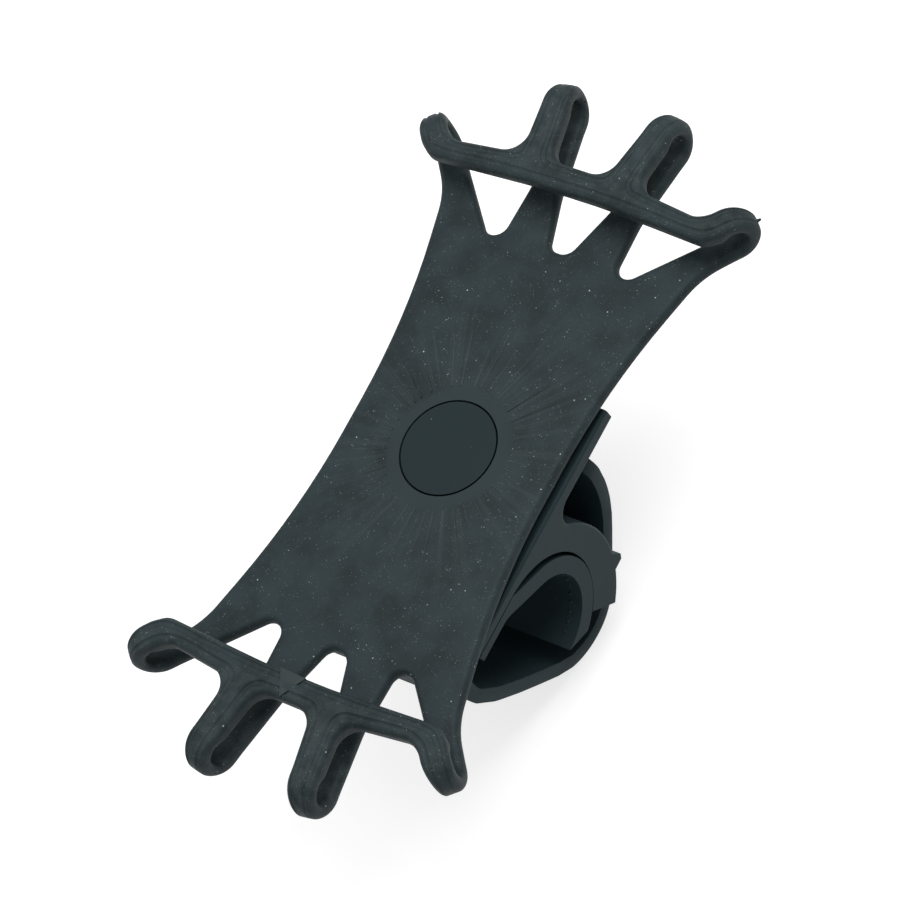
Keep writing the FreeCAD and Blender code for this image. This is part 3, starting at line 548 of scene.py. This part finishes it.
def copy_node(node, name):
    """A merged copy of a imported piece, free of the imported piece's mark and normals."""
    piece = copy_piece(NODES[node])
    del piece["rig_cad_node"]
    piece.name = name
    piece.data.name = name
    edit_all()
    bpy.ops.mesh.remove_doubles(threshold=MERGE)
    set_mode("OBJECT")
    bpy.ops.mesh.customdata_custom_splitnormals_clear()
    return piece


def remove_piece(piece):
    select_only(piece)
    bpy.ops.object.delete()


def dress(piece, material, body):
    piece.data.materials.clear()
    piece.data.materials.append(bpy.data.materials[material])
    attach(piece, body)


def loop_sizes(sizes):
    """Start of the bend, half width and splay of each kind of loop."""
    return {"outer": (sizes.outer_tip, sizes.outer_half, sizes.outer_splay),
            "inner": (sizes.inner_tip, sizes.inner_half, sizes.inner_splay)}


def loop_axes(splay, end=1, side=1):
    """Directions ahead along a loop and across it, at an end and a side of the cradle."""
    ahead = Vector((side * math.sin(splay), end * math.cos(splay), 0))
    across = Vector((side * math.cos(splay), -end * math.sin(splay), 0))
    return ahead, across


def make_line(points, radius):
    """Smooth round bar through the points, as a mesh."""
    deselect()
    bpy.ops.curve.primitive_nurbs_path_add()
    line = bpy.context.object
    curve = line.data
    curve.splines.clear()
    spline = curve.splines.new("NURBS")
    spline.points.add(len(points) - 1)
    for point, place in zip(spline.points, points):
        point.co = (*place, 1.0)
    spline.order_u = 3
    spline.use_endpoint_u = True
    spline.resolution_u = 4
    curve.bevel_depth = radius
    curve.bevel_resolution = 4
    curve.use_fill_caps = True
    settle(line)
    bpy.ops.object.convert(target="MESH")
    bpy.ops.object.shade_smooth()
    return bpy.context.object


def round_flash(offset, segments):
    """Round all the edges of the active piece."""
    edit_all()
    bpy.ops.mesh.bevel(offset=offset, segments=segments)
    set_mode("OBJECT")
    bpy.ops.object.shade_smooth_by_angle(angle=SMOOTH_FLASH)


# Flake of flash: its place from the middle of the lower bar's inner side, its turn, how far its middle
# lies below the bar's top in thicknesses, its rounding, and the size of its bed
FLAKE_SHIFT = (-0.0008, -0.0018)
FLAKE_TURN = (math.radians(0.4), math.radians(-0.3), math.radians(178))
FLAKE_SUNK = 0.6
FLAKE_ROUND = 0.0002
FLAKE_BED = 1.06


def make_flake(sizes, size):
    """Thin three-cornered film, set into the top of the lower bar and overhanging its inner side."""
    deselect()
    bpy.ops.mesh.primitive_cylinder_add(vertices=3, radius=sizes.flake_radius, depth=sizes.flake_thick)
    flake = bpy.context.object
    flake.scale = (size, size, size)
    flake.rotation_euler = FLAKE_TURN
    flake.location = (SWIVEL.x + FLAKE_SHIFT[0], SWIVEL.y - sizes.bar_inside + FLAKE_SHIFT[1],
                      BAR_TOP - FLAKE_SUNK * sizes.flake_thick)
    settle(flake)
    round_flash(FLAKE_ROUND, 2)
    return flake


# Pieces

class HOLDER_OT_finishes(bpy.types.Operator):
    """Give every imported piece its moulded, rubber or steel finish"""
    bl_idname = "holder.finishes"
    bl_label = "Finishes"

    def execute(self, context):
        colours = context.scene.holder_colours
        make_dust_group()
        make_grain_group()
        make_sunburst_group()
        dust = tuple(colours.dust)
        worn_and_highlight = tuple(colours.worn_and_highlight)
        silicone_material("Dusty silicone", tuple(colours.silicone), worn_and_highlight, dust)
        # Lighter copy of the silicone: wear on the flash, and painted highlight on the rays' crests
        silicone_material("Worn silicone and painted highlight", shade(worn_and_highlight, 0.85), worn_and_highlight, dust)
        moulded_material("Cap plastic", tuple(colours.cap), dust, rough=0.5, dust_amount=0.006,
                         cloud_depth=0.05, bump=0.08, shine=0.26)
        moulded_material("Bracket plastic", tuple(colours.bracket), dust, rough=0.55, dust_amount=0.01,
                         cloud_depth=0.06, bump=0.12, shine=0.14)
        moulded_material("Strap rubber", tuple(colours.rubber), dust, rough=0.6, dust_amount=0.02,
                         cloud_depth=0.1, bump=0.2, shine=0.16)
        steel_material("Plain steel", tuple(colours.steel))
        finishes = {
            "Dusty silicone": ["cradle"], "Bracket plastic": ["bracket"],
            "Cap plastic": ["centre_cap", "turntable"], "Strap rubber": ["bar_liner", "strap"],
            "Plain steel": ["wave_washer", "retaining_washer", "pivot_screw"],
        }
        for finish, nodes in finishes.items():
            for node in nodes:
                slots = NODES[node].material_slots
                if not slots:
                    raise RuntimeError("%s has no material slot" % node)
                for slot in slots:
                    slot.material = bpy.data.materials[finish]
        return {"FINISHED"}


# Points at a loop's step: distance from its middle, distance along the loop, lowest and highest height
STEP_EDGE = (0.0035, 0.00002, -0.00002, 0.00002)
STEP_ZONE = (0.0045, 0.0013, -0.0012, 0.0016)

# Part of a bend that narrows, in bend radii ahead of its start and half widths beside its middle line
TIP_AHEAD = 1.1
TIP_BESIDE = 1.2

# Groove round a bend: points, angle turned, lead before the bend, and fade in groove depths
BEND_POINTS = 8
BEND_TURN = math.radians(125)
BEND_LEAD = 0.002
BEND_FADE = 1.2

# Grooves along a bar: dips that follow its bow, and runs to where they have turned into a loop
WINDOW_DIP = 0.0004
CROTCH_DIP = 0.0005
CROTCH_RUN = 0.005
OUTER_RISE = 0.004
MIDDLE_RISE = 0.006


class HOLDER_OT_cradle(bpy.types.Operator):
    """The silicone cradle with moulded grooves that follow the edges of its bars and loops"""
    bl_idname = "holder.cradle"
    bl_label = "Grooved cradle"

    def execute(self, context):
        sizes = context.scene.holder_sizes
        cradle = copy_node("cradle", "silicone_cradle")
        self.soften_steps(sizes, cradle)
        cutters = []
        for end in (1, -1):
            cutters.append(self.make_cutter(sizes, self.window_route(sizes), end, 1))
            cutters.append(self.make_cutter(sizes, self.middle_route(sizes), end, 1))
            for side in (1, -1):
                cutters.append(self.make_cutter(sizes, self.crotch_route(sizes), end, side))
        cutters.append(make_flake(sizes, FLAKE_BED))
        for cutter in cutters:
            self.carve(cradle, cutter)
        self.round_tips(sizes, cradle)
        select_only(cradle)
        bpy.ops.object.shade_smooth_by_angle(angle=SMOOTH_BODY)
        dress(cradle, "Dusty silicone", "cradle")
        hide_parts("cradle")
        return {"FINISHED"}

    def find_tips(self, sizes, level):
        """Start of each loop's bend at a height, with the directions ahead of it and across it."""
        tips = []
        for tip, _, splay in loop_sizes(sizes).values():
            for end in (1, -1):
                for side in (1, -1):
                    place = Vector((SWIVEL.x + side * tip[0], SWIVEL.y + end * tip[1], level))
                    tips.append((place, *loop_axes(splay, end, side)))
        return tips

    def round_tips(self, sizes, cradle):
        """Narrow each bend towards its far end, so that the loop's tip is round from above."""
        for place, ahead, across in self.find_tips(sizes, BAR_TOP - sizes.bend_radius):
            for point in cradle.data.vertices:
                apart = point.co - place
                reach = apart.dot(ahead) / sizes.bend_radius
                aside = apart.dot(across)
                if 0 < reach < TIP_AHEAD and abs(aside) < TIP_BESIDE * sizes.inner_half:
                    narrow = math.sqrt(1 - (sizes.tip_round * reach) ** 2)
                    point.co += across * aside * (narrow - 1)

    def at_step(self, tips, point, zone):
        """Whether a point lies in a zone round one of the loops' steps."""
        reach, depth, low, high = zone
        for place, ahead, _ in tips:
            apart = point.co - place
            if apart.length < reach and abs(apart.dot(ahead)) < depth and low < apart.z < high:
                return True
        return False

    def soften_steps(self, sizes, cradle):
        """Round the edge where a loop's thick upper run ends above its bend."""
        tips = self.find_tips(sizes, BAR_TOP - sizes.bar_thick)
        mesh = cradle.data
        near = [self.at_step(tips, point, STEP_EDGE) for point in mesh.vertices]
        clear_picks(cradle, "EDGE")
        for edge in mesh.edges:
            edge.select = all(near[index] for index in edge.vertices)
        if sum(edge.select for edge in mesh.edges) < len(tips):
            raise RuntimeError("the steps of the loops were not found")
        set_mode("EDIT")
        bpy.ops.mesh.bevel(offset=sizes.step_round, segments=4, clamp_overlap=True)
        clear_picks(cradle, "VERT")
        for point in mesh.vertices:
            point.select = self.at_step(tips, point, STEP_ZONE)
        set_mode("EDIT")
        bpy.ops.mesh.vertices_smooth(factor=0.5, repeat=10)
        set_mode("OBJECT")

    def beside(self, sizes, corner, across, along):
        """Place beside a corner, moved by multiples of the groove's margin."""
        return Vector((corner[0] + across * sizes.groove_margin, corner[1] + along * sizes.groove_margin, 0))

    def window_route(self, sizes):
        """From one outer loop along the bar's inner side to the other."""
        level = sizes.bar_inside + sizes.groove_margin
        half = [Vector((sizes.bar_straight, level, 0)),
                Vector((0.62 * sizes.elbow[0], level - WINDOW_DIP, 0)),
                self.beside(sizes, sizes.elbow, -0.6, 0.85)]
        half += self.bend_points(sizes, "outer", 1)
        return self.flipped(half) + half

    def middle_route(self, sizes):
        """From one inner loop across the bar's outer side to the other inner loop."""
        corner = (sizes.crotch_inside, sizes.bar_outside - sizes.groove_margin)
        half = [Vector((0.35 * corner[0], corner[1], 0)),
                self.beside(sizes, corner, 1.0, 0.0),
                self.beside(sizes, corner, 1.7, 0.0) + Vector((0, MIDDLE_RISE, 0))]
        half += self.bend_points(sizes, "inner", -1)
        return self.flipped(half) + half

    def crotch_route(self, sizes):
        """From an inner loop along the bar's outer side to the outer loop beside it."""
        corner, crook = sizes.crotch_outside, sizes.crook
        halfway = (0.6 * corner[0] + 0.5 * crook[0], crook[1])
        between = [self.beside(sizes, corner, -0.7, 0.0) + Vector((0, OUTER_RISE, 0)),
                   self.beside(sizes, corner, -1.0, -1.0),
                   self.beside(sizes, corner, 0.0, -1.0) + Vector((CROTCH_RUN, -CROTCH_DIP, 0)),
                   self.beside(sizes, halfway, 0.0, -0.6),
                   self.beside(sizes, crook, 0.2, -1.0)]
        inner = self.bend_points(sizes, "inner", 1)
        return list(reversed(inner)) + between + self.bend_points(sizes, "outer", -1)

    def cutter_size(self, sizes):
        """Radius of the round cutter, and how far its middle lies above the surface."""
        radius = (sizes.groove_width ** 2 / 4 + sizes.groove_depth ** 2) / (2 * sizes.groove_depth)
        return radius, radius - sizes.groove_depth

    def bend_points(self, sizes, loop, side):
        """Along one side of a loop's top and round the outside of its bend, fading out on its far side."""
        tip, half, splay = loop_sizes(sizes)[loop]
        ahead, across = loop_axes(splay)
        base = Vector((tip[0], tip[1], 0)) + across * side * (half - sizes.groove_margin)
        level = sizes.bend_radius + self.cutter_size(sizes)[1]
        points = [base - ahead * BEND_LEAD]
        for step in range(BEND_POINTS):
            share = step / (BEND_POINTS - 1)
            # A spline runs inside its points, so they stand out from the bend a little
            radius = level / math.cos(0.5 * BEND_TURN / (BEND_POINTS - 1))
            radius += BEND_FADE * sizes.groove_depth * share ** 2
            points.append(base + ahead * radius * math.sin(BEND_TURN * share)
                          + Vector((0, 0, radius * math.cos(BEND_TURN * share) - level)))
        return points

    def flipped(self, points):
        """The same points on the other side of the middle, in the other order."""
        return [Vector((-point.x, point.y, point.z)) for point in reversed(points)]

    def make_cutter(self, sizes, route, end, side):
        """Round bar along a route, raised so that it sinks in by the groove's depth."""
        radius, rise = self.cutter_size(sizes)
        places = [(SWIVEL.x + side * point.x, SWIVEL.y + end * point.y, BAR_TOP + rise + point.z)
                  for point in route]
        return make_line(places, radius)

    def carve(self, cradle, cutter):
        """Cut a cutter's shape out of the cradle, and remove the cutter."""
        select_only(cradle)
        bpy.ops.object.modifier_add(type="BOOLEAN")
        groove = cradle.modifiers[-1]
        groove.operation = "DIFFERENCE"
        groove.solver = "EXACT"
        groove.object = cutter
        bpy.ops.object.modifier_apply(modifier=groove.name)
        remove_piece(cutter)


# Rays: seed of the draws, shift in ray steps, how soon they shorten towards the sides, ranges of their
# length and height, and the size of a ray's back and outer end against its foot
RAY_SEED = 7
RAY_SHIFT = 0.25
RAY_FALL = 1.6
RAY_LENGTHS = (0.3, 0.8)
RAY_HEIGHTS = (0.4, 1.0)
RAY_BACK = (0.97, 0.25, 1.0)
RAY_END = (1.0, 0.4, 0.08)


class HOLDER_OT_rays(bpy.types.Operator):
    """Fine moulded ridges that run out from the smooth ring round the cap"""
    bl_idname = "holder.rays"
    bl_label = "Rays"

    def execute(self, context):
        sizes = context.scene.holder_sizes
        chance = random.Random(RAY_SEED)
        first = self.make_ray()
        rays = []
        for step in range(sizes.ray_count):
            angle = (step + chance.uniform(-RAY_SHIFT, RAY_SHIFT)) * 2 * math.pi / sizes.ray_count
            reach = abs(math.sin(angle)) ** RAY_FALL
            length = sizes.ray_short + (sizes.ray_long - sizes.ray_short) * reach
            length *= chance.uniform(*RAY_LENGTHS)
            height = sizes.ray_height * chance.uniform(*RAY_HEIGHTS)
            rays.append(self.place_ray(sizes, copy_piece(first), angle, length, height))
        remove_piece(first)
        piece = join(rays, "sunburst_rays")
        # The rays take the lighter silicone: painted highlight on their crests
        dress(piece, "Worn silicone and painted highlight", "cradle")
        return {"FINISHED"}

    def make_ray(self):
        """Ridge of unit size along x, with a narrow back that runs down to its outer end."""
        deselect()
        bpy.ops.mesh.primitive_cube_add(size=1.0, location=(0.5, 0, 0))
        ray = bpy.context.object
        settle(ray)
        pick_faces(ray, lambda normal: normal.z > 0.9)
        bpy.ops.transform.resize(value=RAY_BACK)
        pick_faces(ray, lambda normal: normal.x > 0.5)
        bpy.ops.transform.resize(value=RAY_END)
        set_mode("OBJECT")
        return ray

    def place_ray(self, sizes, ray, angle, length, height):
        """Stretch a ray and set it on the sheet at an angle, with its lower half in the sheet."""
        ray.scale = (length, sizes.ray_width, 2 * height)
        ray.rotation_euler = (0, 0, angle)
        ray.location = (SWIVEL.x + sizes.ray_start * math.cos(angle),
                        SWIVEL.y + sizes.ray_start * math.sin(angle), SHEET_TOP)
        settle(ray)
        bpy.ops.object.shade_smooth_by_angle(angle=SMOOTH_RAY)
        return ray


# Nubs of flash: end, side, loop, lean and length of each
NUBS = (
    (1, 1, "outer", 0.0, 1.0),
    (-1, 1, "outer", 0.4, 0.6),
    (-1, -1, "inner", 1.3, 0.5),
    (-1, 1, "inner", -1.3, 0.5),
    (1, -1, "inner", -1.2, 0.4),
)
# A nub's end against its foot, its rounding, and how far its middle lies outside the bend
NUB_END = 0.4
NUB_ROUND = 0.0001
NUB_OUT = 0.0002
# How much a nub that leans right over turns away from the loop's axis and moves back along it
NUB_TURN = 0.6
NUB_BACK = 0.45


class HOLDER_OT_flash(bpy.types.Operator):
    """Flake and small nubs of flash left by the mould"""
    bl_idname = "holder.flash"
    bl_label = "Moulding flash"

    def execute(self, context):
        sizes = context.scene.holder_sizes
        pieces = [make_flake(sizes, 1.0)]
        first = self.make_nub(sizes)
        for nub in NUBS:
            pieces.append(self.place_nub(sizes, copy_piece(first), *nub))
        remove_piece(first)
        piece = join(pieces, "moulding_flash")
        dress(piece, "Worn silicone and painted highlight", "cradle")
        return {"FINISHED"}

    def make_nub(self, sizes):
        """Torn spike with a blunt end, standing up along z."""
        deselect()
        bpy.ops.mesh.primitive_cone_add(vertices=10, radius1=sizes.nub_radius,
                                        radius2=NUB_END * sizes.nub_radius, depth=sizes.nub_length)
        nub = bpy.context.object
        round_flash(NUB_ROUND, 1)
        return nub

    def place_nub(self, sizes, nub, end, side, loop, lean, size):
        """Set a spike on the outside of a loop's bend, leaning from its middle line to one side."""
        tip, half, splay = loop_sizes(sizes)[loop]
        ahead, across = loop_axes(splay, end, side)
        base = Vector((SWIVEL.x + side * tip[0], SWIVEL.y + end * tip[1], BAR_TOP - sizes.bend_radius))
        reach = min(1.0, abs(lean))
        out = (ahead * (1 - NUB_TURN * reach) + across * lean).normalized()
        nub.location = (base + ahead * sizes.bend_radius * (1 - NUB_BACK * reach)
                        + across * math.copysign(half * reach, lean) + out * NUB_OUT)
        nub.rotation_euler = out.to_track_quat("Z", "Y").to_euler()
        nub.scale = (1.0, 1.0, size)
        settle(nub)
        return nub


# Strap: steps of a rounded corner, where the routes meet between sole and chord, how far the band's
# points lie from its route, and the angle from which its edges are rounded
ARC_STEPS = 40
BEHIND_SHARE = 0.95
BAND_REACH = 0.003
EDGE_ANGLE = math.radians(50)


class HOLDER_OT_strap(bpy.types.Operator):
    """The rubber strap, bent in one soft line from its tail round under the bar"""
    bl_idname = "holder.strap"
    bl_label = "Soft strap"

    def execute(self, context):
        sizes = context.scene.strap_sizes
        corners = [Vector(place) for place in (sizes.tail, sizes.bend, sizes.sole, sizes.chord,
                                               sizes.heel, sizes.anchor)]
        strap = copy_node("strap", "rubber_strap")
        self.cut_rings(sizes, strap, corners)
        self.soften(sizes, strap, corners)
        self.round_edges(sizes, strap)
        dress(strap, "Strap rubber", "clamp")
        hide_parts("strap")
        return {"FINISHED"}

    def cut_rings(self, sizes, strap, corners):
        """Cut across the band at even steps, so that its straight runs can bend."""
        select_only(strap)
        set_mode("EDIT")
        for first, second in zip(corners, corners[1:]):
            run = second - first
            for step in range(1, int(run.length / sizes.ring_pitch)):
                place = first + run * step * sizes.ring_pitch / run.length
                bpy.ops.mesh.select_all(action="SELECT")
                bpy.ops.mesh.bisect(plane_co=(0, *place), plane_no=(0, *run))
        set_mode("OBJECT")

    def trace(self, corners, radii):
        """Points along a route whose inner corners are rounded."""
        points = [corners[0]]
        for before, corner, after, radius in zip(corners, corners[1:], corners[2:], radii):
            back, ahead = (before - corner).normalized(), (after - corner).normalized()
            half = back.angle(ahead) / 2
            centre = corner + (back + ahead).normalized() * radius / math.sin(half)
            start = corner + back * radius / math.tan(half) - centre
            end = corner + ahead * radius / math.tan(half) - centre
            points += [centre + start.slerp(end, step / ARC_STEPS) * radius for step in range(ARC_STEPS + 1)]
        return points + [corners[-1]]

    def locate(self, route, place):
        """Distance along a route of the point nearest to a place, and the offset from it."""
        best, passed = None, 0.0
        for first, second in zip(route, route[1:]):
            run = second - first
            length = run.length
            along = min(max((place - first).dot(run) / length, 0.0), length)
            apart = place - first - run * along / length
            if best is None or apart.length < best[0]:
                turned = Vector((-run.y, run.x)) / length
                best = (apart.length, passed + along, apart.dot(turned))
            passed += length
        return best[1], best[2]

    def reach(self, route, distance, offset):
        """Place at a distance along a route and an offset from it."""
        for first, second in zip(route, route[1:]):
            run = second - first
            if distance <= run.length or second is route[-1]:
                return first + (run * distance + Vector((-run.y, run.x)) * offset) / run.length
            distance -= run.length

    def soften(self, sizes, strap, corners):
        """Move the band to a rounder route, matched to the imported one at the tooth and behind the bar."""
        packed = self.trace(corners, sizes.packed_radii)
        soft = self.trace(corners, sizes.soft_radii)
        tooth = (corners[1] + corners[2]) / 2
        behind = corners[2].lerp(corners[3], BEHIND_SHARE)
        stations = [(self.locate(packed, place)[0], self.locate(soft, place)[0])
                    for place in (corners[0], tooth, behind, corners[-1])]
        for point in strap.data.vertices:
            distance, offset = self.locate(packed, Vector((point.co.y, point.co.z)))
            if not 0 < distance < stations[-1][0] or abs(offset) > BAND_REACH:
                continue
            for index, (packed_to, soft_to) in enumerate(stations[1:]):
                if distance <= packed_to:
                    packed_from, soft_from = stations[index]
                    share = (distance - packed_from) / (packed_to - packed_from)
                    # The second run goes from the tooth to behind the bar
                    if index == 1:
                        offset += self.stand_out(sizes, share)
                    point.co.yz = self.reach(soft, soft_from + share * (soft_to - soft_from), offset)
                    break

    def stand_out(self, sizes, share):
        """How far the band stands out at a share of the way from the tooth to behind the bar."""
        if share < sizes.bulge_peak:
            return sizes.bulge * math.sin(math.pi / 2 * share / sizes.bulge_peak) ** 2
        return sizes.bulge * math.cos(math.pi / 2 * (share - sizes.bulge_peak) / (1 - sizes.bulge_peak))

    def round_edges(self, sizes, strap):
        """Round the band's sharp edges."""
        select_only(strap)
        bpy.ops.object.modifier_add(type="BEVEL")
        edges = strap.modifiers[-1]
        edges.width = sizes.edge_round
        edges.segments = 2
        edges.limit_method = "ANGLE"
        edges.angle_limit = EDGE_ANGLE
        bpy.ops.object.modifier_apply(modifier=edges.name)
        bpy.ops.object.shade_smooth_by_angle(angle=SMOOTH_BODY)


# Grip dot, in its own radii: height of its dome, depth of its foot, and size of the foot
DOT_DOME = 0.7
DOT_FOOT_DEPTH = 0.1
DOT_FOOT = 1.2


class HOLDER_OT_dots(bpy.types.Operator):
    """Rows of small grip dots round the inside of the liner"""
    bl_idname = "holder.dots"
    bl_label = "Liner dots"

    def execute(self, context):
        sizes = context.scene.holder_sizes
        first = self.make_dot(sizes)
        dots = []
        for row in (LINER_LOW.x + sizes.dot_inset, LINER_HIGH.x - sizes.dot_inset):
            for step in range(sizes.dot_count):
                angle = sizes.dot_first + sizes.dot_pitch * step
                dot = copy_piece(first)
                dot.location = (row, sizes.bore_radius * math.cos(angle),
                                sizes.bore_radius * math.sin(angle))
                dot.rotation_euler = (angle + math.pi / 2, 0, 0)
                settle(dot)
                dots.append(dot)
        remove_piece(first)
        piece = join(dots, "liner_dots")
        dress(piece, "Strap rubber", "clamp")
        return {"FINISHED"}

    def make_dot(self, sizes):
        """A low dome with a flared foot that sinks into the liner, standing up along z."""
        deselect()
        bpy.ops.mesh.primitive_uv_sphere_add(segments=12, ring_count=8, radius=sizes.dot_radius)
        dot = bpy.context.object
        edit_all()
        bpy.ops.transform.resize(value=(1.0, 1.0, DOT_DOME))
        bpy.ops.mesh.bisect(plane_co=(0, 0, -DOT_FOOT_DEPTH * sizes.dot_radius), plane_no=(0, 0, 1),
                            clear_inner=True, use_fill=True, threshold=MERGE)
        set_mode("OBJECT")
        pick_faces(dot, lambda normal: normal.z < -0.9)
        bpy.ops.transform.resize(value=(DOT_FOOT, DOT_FOOT, 1.0))
        set_mode("OBJECT")
        bpy.ops.object.shade_smooth_by_angle(angle=SMOOTH_DOT)
        return dot


# Soft studio light: name, place, side length and power of each lamp, and the light from all round
LAMPS = (
    ("Key light", (0.10, 0.35, 0.75), 0.6, 5.5),
    ("Fill light", (-0.55, -0.25, 0.55), 0.7, 1.8),
    ("Side light", (0.7, -0.35, 0.25), 0.5, 0.3),
)
WORLD_LIGHT = 0.35

# Floor: side length, and the glow that shows it white
FLOOR_SIZE = 6.0
FLOOR_GLOW = 0.7


class HOLDER_OT_stage(bpy.types.Operator):
    """Pale floor, soft studio light and the camera"""
    bl_idname = "holder.stage"
    bl_label = "Stage"

    def execute(self, context):
        scene = context.scene
        scene.view_settings.view_transform = "Standard"
        self.make_floor(scene.holder_colours)
        for lamp in LAMPS:
            self.make_light(scene, *lamp)
        self.make_world(scene)
        self.make_camera(scene)
        return {"FINISHED"}

    def make_floor(self, colours):
        """Plain floor under the strap, seen white, that keeps the holder's shadow."""
        deselect()
        bpy.ops.mesh.primitive_plane_add(size=FLOOR_SIZE, location=(0, 0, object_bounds()[0][2]))
        floor = bpy.context.object
        floor.name = "floor"
        settle(floor)
        tree, shader = new_material("Pale floor")
        set_inputs(shader, Base_Color=(*colours.floor, 1.0), Roughness=0.9, Specular_IOR_Level=0.1,
                   Emission_Color=(1, 1, 1, 1))
        paths = tree.nodes.new("ShaderNodeLightPath")
        seen = math_node(tree, "MAXIMUM", paths.outputs["Is Camera Ray"], paths.outputs["Is Glossy Ray"])
        seen = math_node(tree, "MAXIMUM", seen, paths.outputs["Is Transmission Ray"])
        tree.links.new(times(tree, seen, FLOOR_GLOW), shader.inputs["Emission Strength"])
        floor.data.materials.append(bpy.data.materials["Pale floor"])
        floor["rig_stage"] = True

    def make_light(self, scene, name, place, size, power):
        """Square lamp that points at the foot of the cap's axis."""
        lamp = bpy.data.lights.new(name, "AREA")
        lamp.shape = "SQUARE"
        lamp.size = size
        lamp.energy = power
        holder = bpy.data.objects.new(name, lamp)
        scene.collection.objects.link(holder)
        holder.location = place
        holder.rotation_euler = (SWIVEL - holder.location).to_track_quat("-Z", "Y").to_euler()

    def make_world(self, scene):
        world = bpy.data.worlds.new("Studio")
        world.use_nodes = True
        set_inputs(world.node_tree.nodes["Background"], Color=(1, 1, 1, 1), Strength=WORLD_LIGHT)
        scene.world = world

    def make_camera(self, scene):
        view = scene.holder_view
        lens = bpy.data.cameras.new("Camera")
        lens.sensor_width = 36.0
        lens.lens = view.lens
        lens.clip_start = 0.05
        lens.clip_end = 20.0
        camera = bpy.data.objects.new("Camera", lens)
        scene.collection.objects.link(camera)
        camera.location = view.camera_place
        camera.rotation_euler = view.camera_turn
        scene.camera = camera


class HOLDER_PT_panel(bpy.types.Panel):
    """Sizes, colours and view, and the steps that dress the phone holder"""
    bl_idname = "HOLDER_PT_panel"
    bl_label = "Phone holder"
    bl_space_type = "VIEW_3D"
    bl_region_type = "UI"
    bl_category = "Phone holder"

    def draw(self, context):
        for group in (getattr(context.scene, name) for name in GROUPS):
            box = self.layout.box()
            for name in group.__annotations__:
                box.prop(group, name)
        for operator in STEPS:
            self.layout.operator(operator.bl_idname)


STEPS = (HOLDER_OT_finishes, HOLDER_OT_cradle, HOLDER_OT_rays, HOLDER_OT_flash, HOLDER_OT_strap,
         HOLDER_OT_dots, HOLDER_OT_stage)
GROUPS = {"holder_sizes": HolderSizes, "strap_sizes": StrapSizes, "holder_colours": HolderColours,
          "holder_view": HolderView}


def register():
    for name, group in GROUPS.items():
        bpy.utils.register_class(group)
        setattr(bpy.types.Scene, name, bpy.props.PointerProperty(type=group))
    for operator in STEPS:
        bpy.utils.register_class(operator)
    bpy.utils.register_class(HOLDER_PT_panel)


def unregister():
    bpy.utils.unregister_class(HOLDER_PT_panel)
    for operator in reversed(STEPS):
        bpy.utils.unregister_class(operator)
    for name, group in GROUPS.items():
        delattr(bpy.types.Scene, name)
        bpy.utils.unregister_class(group)


def main():
    register()
    bpy.ops.holder.finishes()
    bpy.ops.holder.cradle()
    bpy.ops.holder.rays()
    bpy.ops.holder.flash()
    bpy.ops.holder.strap()
    bpy.ops.holder.dots()
    bpy.ops.holder.stage()


if __name__ == "__main__":
    main()
